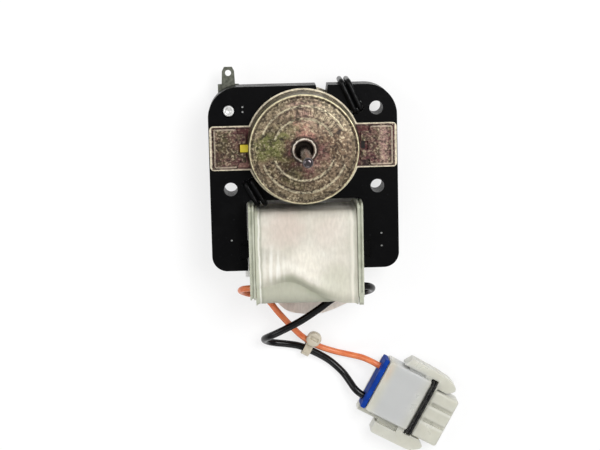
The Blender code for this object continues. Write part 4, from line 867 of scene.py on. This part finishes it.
def build_plug():
    start = 1.55
    end = 29.1
    upper = PLUG_MIDDLE + 9.9
    lower = PLUG_MIDDLE - 9.1
    neck_low, neck_high = (PLUG_MIDDLE - 8.3, PLUG_MIDDLE + 8.3)
    neck_base, neck_top = (BASE + 1.2, TOP - 1.2)
    housing = block("plug_housing", (start, lower, BASE), (BODY_END, upper, TOP), 0.7)
    neck = block("neck", (BODY_END - 1, neck_low, neck_base), (GASKET_END + 1, neck_high, neck_top))
    corner = (GASKET_END + SEAT, PLUG_MIDDLE - 9.8, BASE + 0.5)
    towers = block("towers", corner, (end, PLUG_MIDDLE + 7.7, TOP - 0.5), 0.9)
    corner = (-0.26, PLUG_MIDDLE - 10.8, BASE + 0.1)
    ledge = block("ledge", corner, (BODY_END - 0.5, lower + 0.15, BASE + 6))
    lip = block("lip", (-0.3, lower + 0.8, BASE), (start + 1, upper - 1.6, BASE + 0.8))
    upper_arm = latch("latch_a", 1, 6.6, 26.2, 9.9, 10.0, 7.7, 3.7, 1.4, 0.9)
    lower_arm = latch("latch_b", -1, 6.9, 25.3, 9.1, 10.8, 9.8, 4.5, 0, 0.2)
    web = block("web", (9, PLUG_MIDDLE + 9.6, 2.4), (15, PLUG_MIDDLE + 11.2, 8))
    sill = block("sill", (7.6, PLUG_MIDDLE - 11.7, 2.4), (15, lower + 0.3, 7))
    join(housing, neck, towers, ledge, lip, upper_arm, lower_arm, web, sill)
    cutters = []
    for level in (TOP - 0.5, BASE + 0.5):
        for n in (0, 1):
            middle = (ROWS[n] + ROWS[n + 1]) / 2
            corner = (GASKET_END + 1.6, middle - 0.65, level - 0.7)
            cutters.append(block("groove", corner, (end + 1, middle + 0.65, level + 0.7)))
    cutters += [bar_along("way", offset, 1.65, start - 1, end + 1) for offset in ROWS]
    cut(housing, *cutters)
    soften(housing, 0.16)
    housing.data.transform(PLUG_PLACE)
    dress(housing, "plug", "connector_housing")

    seal = block("plug_seal", (-0.4, lower + 0.25, BASE + 1.6), (1.3, upper - 0.3, TOP - 0.1), 0.3)
    cut(seal, bar_along("hole_a", ROWS[0], 1.57, -3, 3), bar_along("hole_b", ROWS[2], 1.4, -3, 3))
    soften(seal, 0.12)
    seal.data.transform(PLUG_PLACE)
    dress(seal, "blue", "wire_seal")

    near, far = (PLUG_MIDDLE - GASKET_HALF, PLUG_MIDDLE + GASKET_HALF)
    low, high = (BASE - 0.5, TOP + 0.5)
    loops = [
        rounded_box(near, low, far, high, 2.2, 12),
        rounded_box(neck_low - SEAT, neck_base - SEAT, neck_high + SEAT, neck_top + SEAT, 0.4, 3),
    ]
    gasket = along_x(plate("plug_gasket", loops, GASKET_START, GASKET_END))
    around = rounded_box(near - 1, low - 1, far + 1, high + 1, 1)
    deep = 0.6
    inset = rounded_box(near + deep, low + deep, far - deep, high - deep, 1.8, 12)
    middle = (GASKET_START + GASKET_END) / 2
    cut(gasket, along_x(plate("rib", [around, inset], middle - 0.22, middle + 0.22)))
    soften(gasket, 0.1)
    gasket.data.transform(PLUG_PLACE)
    dress(gasket, "rubber", "gasket")
    return [housing, seal, gasket]


def build_tie():
    between = 2.65
    inner_y = between / 2 + BLACK_RADIUS + 0.3
    inner_z = 1.52
    outer_y = inner_y + 0.8
    outer_z = inner_z + 0.8
    loops = [
        rounded_box(-outer_y, -outer_z, outer_y, outer_z, outer_z - 0.1, 12),
        rounded_box(-inner_y, -inner_z, inner_y, inner_z, inner_z - 0.1, 12),
    ]
    strap = along_x(plate("tie_strap", loops, -1.3, 1.3))
    low = inner_z + 0.4
    outline = rounded_box(-2.45, 0.9, 2.45, 5.9, 2.2, 14)
    head = soften(plate("tie_head", [outline], low, low + 3), 1.0, 5)
    slot = block("tie_slot", (-1.45, 3.0, low + 2.2), (1.45, 4.3, low + 5))
    join(strap, head)
    cut(strap, slot)
    soften(strap, 0.15)
    strap.data.transform(TIE_PLACE)
    return dress(strap, "nylon", "cable_tie")


# Lamination, bar, bobbin, coil

# The middle of the bar through the coil
BAR_Y = -34.207
STUD_X = 25.1
BORE = 12.307
CAP_SLOT_HALF = 1.45


def stack_outline():
    half = 30.5
    top = 19.607
    bottom = -40.407
    inner = 18.91
    window = -17.307
    root, tip, depth = (2.05, 2.75, 2.2)
    notch_floor = 13.607
    corner = 1.5

    def groove(side, upwards):
        points = [(side * inner, BAR_Y - root), (side * (inner + depth), BAR_Y - tip)]
        points += [(side * (inner + depth), BAR_Y + tip), (side * inner, BAR_Y + root)]
        return points if upwards else points[::-1]

    points = arc(-half + 5, bottom + 5, 5, 270, 180, 24)
    points += arc(-half + 10, top - 10, 10, 180, 90, 36)
    points += [(4.5, top), (5.2, notch_floor), (7.6, notch_floor), (8.3, top)]
    points += arc(half - 10, top - 10, 10, 90, 0, 36)
    points += arc(half - 5, bottom + 5, 5, 0, -90, 24)
    points.append((inner, bottom))
    points += groove(1, True)
    points += arc(inner - corner, window - corner, corner, 0, 90, 6)
    points += [(-4.5, window), (-5.2, -notch_floor), (-7.6, -notch_floor), (-8.3, window)]
    points += arc(-inner + corner, window - corner, corner, 90, 180, 6)
    points += groove(-1, False)
    points.append((-inner, bottom))
    return points


MOUNTS = [(sx * 23.79, -0.8 + sy * 12.7) for sx in (-1, 1) for sy in (-1, 1)]
# The two shading slots of a pole, the second a step further out, in metres
SLOT_OUT = 20.167 * MM
SLOT_TURN = math.radians(32.6)
STEP_TURN = math.radians(24.8)
SLOT_STEP = 2.0
SLOT_A = Vector((SLOT_OUT * math.cos(SLOT_TURN), SLOT_OUT * math.sin(SLOT_TURN)))
SLOT_B = SLOT_A + SLOT_STEP * MM * Vector((math.cos(STEP_TURN), math.sin(STEP_TURN)))


def build_stack():
    loops = [stack_outline(), circle(0, 0, BORE, 128)]
    loops += [circle(x, y, 2.2, 48) for x, y in MOUNTS]
    loops += [circle(side * STUD_X, 0, 1.85, 24) for side in (-1, 1)]
    core = plate("lamination_stack", loops, STACK_REAR, STACK_FRONT)
    low, high = (STACK_REAR - 1, STACK_FRONT + 1)
    cutters = []
    for sign in (1, -1):
        first, second = (sign * SLOT_A, sign * SLOT_B)
        cutters += [rod("slot", at.x / MM, at.y / MM, 1.1, low, high, 28) for at in (first, second)]
        middle = (first + second) / 2
        slit = block("slit", (11.3, -0.4, low), (middle.length / MM, 0.4, high))
        slit.data.transform(Matrix.Rotation(math.atan2(middle.y, middle.x), 4, "Z"))
        across = second - first
        web = block("web", (-1.0, -0.4, low), (1.0, 0.4, high))
        turn = Matrix.Rotation(math.atan2(across.y, across.x), 4, "Z")
        web.data.transform(Matrix.Translation((*middle, 0)) @ turn)
        cutters += [slit, web]
    cutters += [rod("dimple", x, y, 0.6, STACK_FRONT - 0.5, high, 20) for x, y in DIMPLES]
    cut(core, *cutters)
    soften(core, 0.12)
    dress(core, "lacquer", "stator_core")

    inner = 18.66
    tip = inner + 2.4
    heights = ((inner, -6.2), (inner, -1.8), (tip, -2.5), (tip, 2.5), (inner, 1.8), (inner, 6.2))
    right = [(x, BAR_Y + y) for x, y in heights]
    left = [(-x, y) for x, y in reversed(right)]
    bar = plate("lamination_bar", [right + left], STACK_REAR, STACK_FRONT)
    soften(bar, 0.1)
    dress(bar, "lacquer", "coil_bar")


FLANGE_TOP = -17.907
FLANGE_BOTTOM = -48.807
FLANGE_OUT = 18.41
FLANGE_IN = 16.61


def build_bobbin():
    outline = rounded_box(FLANGE_BOTTOM, 0, FLANGE_TOP, 30, 1.8, 10)
    deep = 0.5
    inset = rounded_box(FLANGE_BOTTOM + deep, deep, FLANGE_TOP - deep, 30 - deep, 1.3, 8)
    around = rounded_box(FLANGE_BOTTOM - 1, -1, FLANGE_TOP + 1, 31, 1)
    shell = block(
        "bobbin_moulding",
        (-FLANGE_IN - 1, BAR_Y - 7.65, STACK_MIDDLE - 7.45),
        (FLANGE_IN + 1, BAR_Y + 7.65, STACK_MIDDLE + 7.45),
    )
    for side in (-1, 1):
        ends = sorted((side * FLANGE_IN, side * FLANGE_OUT))
        flange = along_x(plate("flange", [outline], *ends))
        middle = sum(ends) / 2
        channel = plate("channel", [around, inset], middle - 0.3, middle + 0.3)
        join(shell, flange)
        cut(shell, along_x(channel))
    outer = FLANGE_OUT - 0.2
    high = 29.8
    tip = FLANGE_BOTTOM - 2.4
    tab = [
        (FLANGE_BOTTOM + 1.92, high - 3.4),
        (FLANGE_BOTTOM + 1.92, high),
        (tip + 0.96, high),
        (tip, high - 1.19),
        (tip + 0.6, high - 3.4),
    ]
    join(shell, along_x(plate("tab", [tab], outer - 1.4, outer)))
    bore = block(
        "bore",
        (-FLANGE_OUT - 1, BAR_Y - 6.45, STACK_MIDDLE - 6.25),
        (FLANGE_OUT + 1, BAR_Y + 6.45, STACK_MIDDLE + 6.25),
    )
    cutters = [bore]
    for side, level in ((-1, 20.7), (1, 21.4)):
        ends = sorted((side * (FLANGE_IN - 1), side * (FLANGE_OUT + 1)))
        corner = (ends[0], FLANGE_BOTTOM - 1, level - 1.8)
        cutters.append(block("notch", corner, (ends[1], FLANGE_BOTTOM + 4.2, level + 1.8)))
    cut(shell, *cutters)
    soften(shell, 0.22, 3)
    dress(shell, "bobbin", "bobbin")


# The coil's section: its lowest and highest y, then its lowest and highest z
COIL = (-46.907, -21.507, 2.4, 27.6)
COIL_CORNER = 2.6
COIL_HALF = 16.36
CLOTH_WALL = 0.3


def build_winding():
    low_y, high_y, low_z, high_z = COIL
    outer = rounded_box(low_y, low_z, high_y, high_z, COIL_CORNER, 12)
    inner = rounded_box(BAR_Y - 7.9, STACK_MIDDLE - 7.7, BAR_Y + 7.9, STACK_MIDDLE + 7.7, 0.3, 2)
    coil = along_x(plate("coil_turns", [outer, inner], -COIL_HALF, COIL_HALF))
    dress(coil, "wire", "winding")


def build_shading():
    reach = 1.1
    front = STACK_FRONT + reach
    rear = STACK_REAR - reach
    bend = 1.1
    first = SLOT_A.x / MM
    tops = (first - 4.4, first - 4.4 + SLOT_STEP / math.cos(STEP_TURN))
    lows = (4.2 - first, 1.7 - first)
    for label, sign, legs, y in (("upper", 1, tops, 20.707), ("lower", -1, lows, -18.407)):
        for slot, leg, letter in zip((SLOT_A, SLOT_B), legs, "ab"):
            start = sign * slot / MM
            way = Vector((leg, y)) - start
            far = way.length - bend
            way.normalize()
            turns = arc(bend, front - bend, bend, 180, 90, 8) + arc(far, front - bend, bend, 90, 0, 8)
            turns += arc(far, rear + bend, bend, 0, -90, 8) + arc(bend, rear + bend, bend, -90, -180, 8)
            points = [(start.x + way.x * s, start.y + way.y * s, z) for s, z in turns]
            ring = tube(f"shading_wire_{label}_{letter}", points, 0.85, True)
            dress(ring, "shading", f"shading_ring_{label}_{letter}")


# Coil tape


def ends_at(table, x):
    """The value at x in a short table of (x, value) pairs, on the straight line between two of them."""
    for (x0, v0), (x1, v1) in zip(table, table[1:]):
        if x <= x1:
            return v0 + (v1 - v0) * min(1.0, max(0.0, (x - x0) / (x1 - x0)))
    return table[-1][1]


def smooth_table(table, x):
    return sum(ends_at(table, x + shift) for shift in (-1.2, -0.6, 0, 0.6, 1.2)) / 5


def main_path(x):
    """The inner layer's (y, z) line at a place across the coil, from the tail's end to the front lip."""
    low_y, high_y, low_z, high_z = COIL
    gap = 0.3
    radius = COIL_CORNER + gap
    bottom, top = (low_y - gap, high_y + gap)
    rear, front = (low_z - gap, high_z + gap)
    reach = bottom - smooth_table(TAIL_ENDS, x)
    lifts = ((1, 0.5), (0.66, 1.3), (0.33, 1.7), (0.12, 1.6))
    path = [(bottom - reach * part, rear + lift) for part, lift in lifts]
    path += arc(bottom + radius, rear + radius, radius, 220, 270, 5)
    path += arc(top - radius, rear + radius, radius, 270, 360, 8)
    path += arc(top - radius, front - radius, radius, 0, 90, 8)
    path += arc(bottom + 0.57, front - 3.8, 3.8, 98, 200, 14)
    path += [(bottom - 2.4, front - 7), (bottom - 1.5, front - 9)]
    return path


# How high the fold stands off the inner layer, across the coil
FOLD_LIFTS = (
    (-COIL_EDGE, 0.35), (-11.0, 0.7), (-6.0, 1.1), (-2.0, 1.35), (4.0, 1.35), (9.0, 0.95), (COIL_EDGE, 0.4),
)


def fold_path(x):
    """The outer layer's (y, z) line, from the coil's top round the front to its fold."""
    gap = 0.75
    radius = COIL_CORNER + gap
    top, front = (COIL[1] + gap, COIL[3] + gap)
    end = smooth_table(FOLD_ENDS, x)
    lift = smooth_table(FOLD_LIFTS, x)
    path = [(top, 12), (top, 18)]
    path += arc(top - radius, front - radius, radius, 0, 90, 8)
    rise = ((10, 0), (7.5, 0.12), (5, 0.48), (3.2, 0.86), (2.2, 1), (1.3, 0.97), (0.6, 0.78), (0.1, 0.5))
    path += [(end + ahead, front + share * lift) for ahead, share in rise]
    path += [(end - 0.4, front + 0.18 * lift - 0.1), (end - 1.2, front - 0.5)]
    return path


def evenly(path, count):
    """Places at even steps along a path, and the path's length, in metres."""
    points = [Vector((0, y * MM, z * MM)) for y, z in path]
    lengths = [0.0]
    for a, b in zip(points, points[1:]):
        lengths.append(lengths[-1] + (b - a).length)
    found = []
    at = 0
    for i in range(count + 1):
        target = lengths[-1] * i / count
        while at < len(points) - 2 and lengths[at + 1] < target:
            at += 1
        part = (target - lengths[at]) / max(1e-9, lengths[at + 1] - lengths[at])
        found.append(points[at].lerp(points[at + 1], min(1.0, max(0.0, part))))
    return found, lengths[-1]


def cloth_layer(name, path_at, rows, seed):
    """A grid of cloth bent round the coil, its sides turned up a little against the flanges."""
    columns = 84
    half = COIL_HALF + 0.08
    bm = bmesh.new()
    bmesh.ops.create_grid(bm, x_segments=columns, y_segments=rows, size=1.0)
    lines = {}
    longest = 0.0
    for vert in bm.verts:
        j = round((vert.co.x + 1) / 2 * columns)
        i = round((vert.co.y + 1) / 2 * rows)
        x = -half + 2 * half * j / columns
        if j not in lines:
            lines[j], length = evenly(path_at(x), rows)
            longest = max(longest, length)
        line = lines[j]
        way = (line[min(rows, i + 1)] - line[max(0, i - 1)]).normalized()
        out = Vector((0, way.z, -way.y))
        at = i / rows * longest / MM
        wave = noise.noise(Vector((x * 0.15, at * 0.11, seed)))
        ripple = noise.noise(Vector((x * 0.52, at * 0.3, seed + 4)))
        edge = max(0.0, 1 - (half - abs(x)) / 1.3)
        lift = 0.14 + 0.16 * wave + 0.06 * ripple + 0.7 * edge * edge
        vert.co = Vector((x * MM, line[i].y, line[i].z)) + out * lift * MM
    mesh = bpy.data.meshes.new(name)
    bm.to_mesh(mesh)
    bm.free()
    cloth = link(name, mesh)
    thick = cloth.modifiers.new("Wall", "SOLIDIFY")
    thick.thickness = CLOTH_WALL * MM
    thick.offset = 0.0
    return bake(cloth), (2 * half * MM, longest)


def build_tape():
    """Two layers of cloth, the inner one with a tail and a loose lip, the outer one with a slanting fold."""
    inner, size = cloth_layer("coil_cloth", main_path, 190, 3.0)
    dress(inner, "tape", "coil_tape", 60.0, False)
    outer, size = cloth_layer("coil_cloth_fold", fold_path, 120, 9.0)
    dress(outer, "tape_fold", None, 60.0, False)


# Brackets, caps and what is in them


def build_bracket(label):
    low = STACK_FRONT + SEAT
    high = low + 1
    half = 30.2
    side = 7.2
    disc = 18.807
    meet = math.degrees(math.asin(side / disc))
    round_off = 1.4
    outline = arc(half - round_off, -side + round_off, round_off, -90, 0, 10)
    outline += arc(half - round_off, side - round_off, round_off, 0, 90, 10)
    outline += arc(0, 0, disc, meet, 180 - meet, 72)
    outline += arc(-half + round_off, side - round_off, round_off, 90, 180, 10)
    outline += arc(-half + round_off, -side + round_off, round_off, 180, 270, 10)
    outline += arc(0, 0, disc, 180 + meet, 360 - meet, 72)
    bracket = plate(f"{label}_strap", [outline, circle(0, 0, 13.407, 96)], low, high)
    top = high + 1.1
    for turn in (0, math.pi):
        spin = Matrix.Rotation(turn, 4, "Z")
        pad = plate("pad", [rounded_box(21.407, -6.3, 28.8, 6.3, 0.8)], high - 0.3, top)
        neck = block("neck", (18.607, -4.6, high - 0.3), (22.4, 4.6, top - 0.02))
        pocket = block("pocket", (22.207, -5.5, low - 1), (28, 5.5, top - 1))
        stud = rod("stud", STUD_X, 0, 1.6, low - 2.4, top - 0.5)
        notch = block("notch", (17.6, -CAP_SLOT_HALF, high + SEAT / 2), (20.907, CAP_SLOT_HALF, top + 1))
        for piece in (pad, neck, pocket, stud, notch):
            piece.data.transform(spin)
        join(bracket, pad, neck)
        cut(bracket, pocket)
        join(bracket, stud)
        cut(bracket, notch)
    soften(bracket, 0.2, 3)
    if label == "rear":
        mirrored(bracket)
    dress(bracket, "strap", f"{label}_bracket")


def smoothstep(low, high, value):
    t = min(1.0, max(0.0, (value - low) / (high - low)))
    return t * t * (3 - 2 * t)


def within(value, low, high, edge):
    return smoothstep(low - edge, low + edge, value) * (1 - smoothstep(high - edge, high + edge, value))


def face_relief(r, a, z):
    """Plain raised arcs in the cap's face, two above the hub and two below, with short bars between."""
    if z < CAP_FACE - 0.15 or r < 4.6:
        return 0.0
    angle = math.degrees(a) % 360
    sweep = max(within(angle, 25, 160, 1.5), within(angle, 200, 338, 1.5))
    lines = 0.0
    for middle, width in ((9.9, 0.5), (13.9, 0.5)):
        lines += within(r, middle - width / 2, middle + width / 2, 0.14)
    bars = within(r, 10.9, 12.9, 0.15) * within(abs((angle + 4.5) % 9 - 4.5), -9, 1.5, 0.5)
    bars *= max(within(angle, 31, 154, 1.0), within(angle, 206, 332, 1.0))
    return 0.24 * lines * sweep + 0.2 * bars


def cap_slot(low, high):
    """The notch in a cap's foot for the retainer's tab."""
    return block("slot", (-19.3, -CAP_SLOT_HALF, low), (-16.2, CAP_SLOT_HALF, high))


def build_front_cap():
    foot, face, wall = (CAP_FRONT_FOOT, CAP_FACE, CAP_SHEET)
    rim_in = CAP_TOP - 0.75
    groove = face - 0.55
    shoulder = rim_in - 1.5
    centre = face + 1
    hub = centre + 1.1
    profile = [(2.7, hub - 0.9), (2.78, hub - 0.25), (2.95, hub - 0.04), (3.1, hub)]
    profile += [(3.6, hub)] + arc(3.6, hub - 0.4, 0.4, 80, 0, 5)
    profile += [(4.05, centre + 0.35), (4.2, centre + 0.12), (4.5, centre)]
    count = 76
    for i in range(1, count + 1):
        radius = shoulder * (0.27 + 0.73 * i / count)
        profile.append((radius, face - 0.1 + 1.1 * (1 - (i / count) ** 2.2)))
    profile += [
        (shoulder + 0.35, face - 0.3),
        (rim_in - 0.6, groove + 0.02),
        (rim_in - 0.3, groove),
        (rim_in - 0.08, groove + 0.06),
        (rim_in + 0.06, face - 0.14),
    ]
    profile += arc(rim_in + 0.25, face - 0.2, 0.2, 170, 90, 4)
    profile += arc(CAP_TOP - 0.3, face - 0.3, 0.3, 90, 0, 6)
    profile += [(CAP_TOP + 0.15, foot + 2.5), (CAP_FOOT - 0.15, foot + 0.5), (CAP_FOOT, foot)]
    profile += [
        (CAP_FOOT - wall, foot),
        (CAP_TOP + 0.15 - wall, foot + 2.5),
        (CAP_TOP - wall - 0.3, groove - wall - 0.6),
        (rim_in - 0.8, groove - wall),
        (shoulder * 0.88, face + 0.3 - wall),
        (shoulder * 0.45, face + 0.86 - wall),
        (4.0, centre - wall),
        (2.7, centre - wall),
    ]
    cap = lathe("front_cap", profile, 360, face_relief)
    cut(cap, cap_slot(foot - 0.5, foot + 1.7))
    dress(cap, "cap", "front_bearing_cap", 28.0)


def build_rear_cap():
    foot, wall = (CAP_REAR_FOOT, CAP_SHEET)
    flat = CAP_TOP - 2.6
    profile = [(0, wall), (flat, wall), (CAP_TOP - wall, 2.6), (CAP_FOOT - wall, foot), (CAP_FOOT, foot)]
    profile += arc(flat, 2.6, 2.6, 0, -90, 16)
    profile += [(flat * part, 0) for part in (0.75, 0.5, 0.25, 0)]
    cap = lathe("rear_cap", profile, 192)
    cut(cap, cap_slot(foot - 1.7, foot + 0.5))
    dress(cap, "cap", "rear_bearing_cap", 28.0)


def build_retainer_tabs():
    """The yellow retainers: only their tabs and rims can be seen."""
    for label in ("front", "rear"):
        foot = CAP_FRONT_FOOT
        piece = lathe(
            f"{label}_dish",
            [
                (5.15, foot + 2.35),
                (5.15, foot + 5.35),
                (6.35, foot + 5.35),
                (6.35, foot + 3.55),
                (16.2, foot + 3.55),
                (16.2, foot),
                (15.0, foot),
                (15.0, foot + 2.35),
            ],
            96,
        )
        tab = block("tab", (-20.4, -1.2, foot), (-15.3, 1.2, foot + 1.2), 0.15)
        join(piece, tab)
        if label == "rear":
            mirrored(piece)
        dress(piece, "yellow", f"{label}_retainer")


def build_shaft():
    low, high = (1.15, 68)
    radius = 1.5875
    profile = [(0, high)] + arc(radius - 1.1, high - 1.1, 1.1, 90, 0, 14)
    profile += [(radius, z) for z in (60, 50, 40, 30, 20, 10)]
    profile += [(radius, low + 0.4), (radius - 0.4, low), (0, low)]
    dress(lathe("rotor_shaft", profile, 64), "steel", "shaft", 40.0, body="rotor")


def build_ground():
    x, eye = (-23.79, 11.9)
    high = STACK_REAR - SEAT
    low = high - 0.8
    top = 25.407
    shoulder_y = 19.807
    half, shoulder, tip = (2.0, 3.45, 0.7)
    outline = [
        (x - shoulder, shoulder_y),
        (x - half - 0.2, shoulder_y),
        (x - half, top - 2 * tip),
        (x - half + tip, top),
        (x + half - tip, top),
        (x + half, top - 2 * tip),
        (x + half + 0.2, shoulder_y),
        (x + shoulder, shoulder_y),
    ]
    outline += arc(x, eye, 4, 30, -210, 40)
    holes = [circle(x, 23.407, 1, 32), circle(x, eye, 2.05, 40)]
    spade = plate("ground_spade", [outline] + holes, low, high)
    soften(spade, 0.14)
    dress(spade, "tin", "ground_terminal")
    head_high = low - SEAT
    head_low = head_high - 0.8
    end = STACK_FRONT - 0.4
    profile = [(0, end - 0.5), (0.7, end - 0.48), (0.98, end - 0.3), (1.2, end - 0.05)]
    profile += [(1.4, end), (1.65, end - 0.03), (1.8, end - 0.2), (1.8, head_high)]
    profile += [(3.1, head_high), (3.1, head_high - 0.25), (3.0, head_low + 0.3)]
    profile += [(2.8, head_low + 0.1), (2.5, head_low), (0, head_low)]
    rivet = lathe("ground_eyelet", profile, 56)
    rivet.data.transform(moved(x, eye))
    dress(rivet, "rivet", "ground_rivet")


def dress_hidden():
    """Materials for the frame's own pieces that nothing replaces."""
    for look, names in (
        ("bronze", ("front_bearing", "rear_bearing")),
        ("felt", ("front_felt", "rear_felt")),
        ("shading", ("rotor_core",)),
        ("aluminium", ("rotor_cage",)),
        ("nylon", ("front_spacer", "rear_spacer")),
        ("tin", ("contact_orange", "contact_black")),
    ):
        for name in names:
            cad[name].data.materials.clear()
            cad[name].data.materials.append(looks[look])


# Stage, its lights in metres and watts

LIGHTS_AIM = (0, -0.03, 0.015)


def area_light(name, place, size, power):
    data = bpy.data.lights.new(name, "AREA")
    data.shape = "RECTANGLE"
    data.size, data.size_y = size
    data.energy = power
    lamp = bpy.data.objects.new(name, data)
    lamp.location = place
    lamp.rotation_euler = (Vector(LIGHTS_AIM) - Vector(place)).to_track_quat("-Z", "Y").to_euler()
    bpy.context.scene.collection.objects.link(lamp)


def white_floor():
    """A pale floor that the camera and mirrors see close to white, though not in the gaps round the coil."""
    look = Look("floor_white")
    x, y = look.axes()[:2]
    look.base = (0.98, 0.98, 0.98, 1)
    look.set(Roughness=0.9, Specular_IOR_Level=0.1)
    rays = add_node(look.tree, "ShaderNodeLightPath", {}).outputs
    seen = plus(rays["Is Camera Ray"], rays["Is Glossy Ray"])
    seen = work("ADD", seen, rays["Is Transmission Ray"], clamp=True)
    beside = times(band(x, -19.9, -17.9, 0.2), band(y, -46.4, -18.6, 0.2))
    above = times(band(x, -18.6, 18.6, 0.2), band(y, -23.2, -18.0, 0.2))
    open_floor = work("SUBTRACT", 1.0, most(beside, above), clamp=True)
    glow = add_node(look.tree, "ShaderNodeEmission", {}).outputs[0]
    inputs = {0: times(seen, open_floor, 0.7), 1: look.out.outputs[0], 2: glow}
    blend = add_node(look.tree, "ShaderNodeMixShader", inputs)
    feed(look.tree.nodes["Material Output"].inputs["Surface"], blend.outputs[0])
    return look.done()


def build_stage():
    scene = bpy.context.scene
    scene.view_settings.view_transform = "Standard"
    floor = block("floor", (-2000, -2000, -4), (2000, 2000, -0.2))
    floor.data.materials.append(white_floor())
    world = bpy.data.worlds.new("studio")
    scene.world = world
    world.use_nodes = True
    sky = world.node_tree.nodes["Background"].inputs
    sky["Color"].default_value = (1.0, 1.0, 1.0, 1)
    sky["Strength"].default_value = 0.4
    area_light("key", (0.2, 0.17, 0.52), (0.3, 0.3), 2.3)
    area_light("side", (-0.42, 0.1, 0.4), (0.35, 0.35), 0.9)
    area_light("low", (-0.05, -0.5, 0.4), (0.5, 0.25), 0.6)


set_camera()
plug = build_plug()
tie = build_tie()
for name, route, radius, look, node in (
    ("orange_lead", ORANGE_ROUTE, ORANGE_RADIUS, "orange", "lead_orange"),
    ("black_lead", BLACK_ROUTE, BLACK_RADIUS, "black", "lead_black"),
):
    piece, start, length = lead(name, route, radius, look, node)
build_stack()
build_bobbin()
build_winding()
build_shading()
build_tape()
build_bracket("front")
build_bracket("rear")
build_front_cap()
build_rear_cap()
build_retainer_tabs()
build_shaft()
build_ground()
dress_hidden()
build_stage()
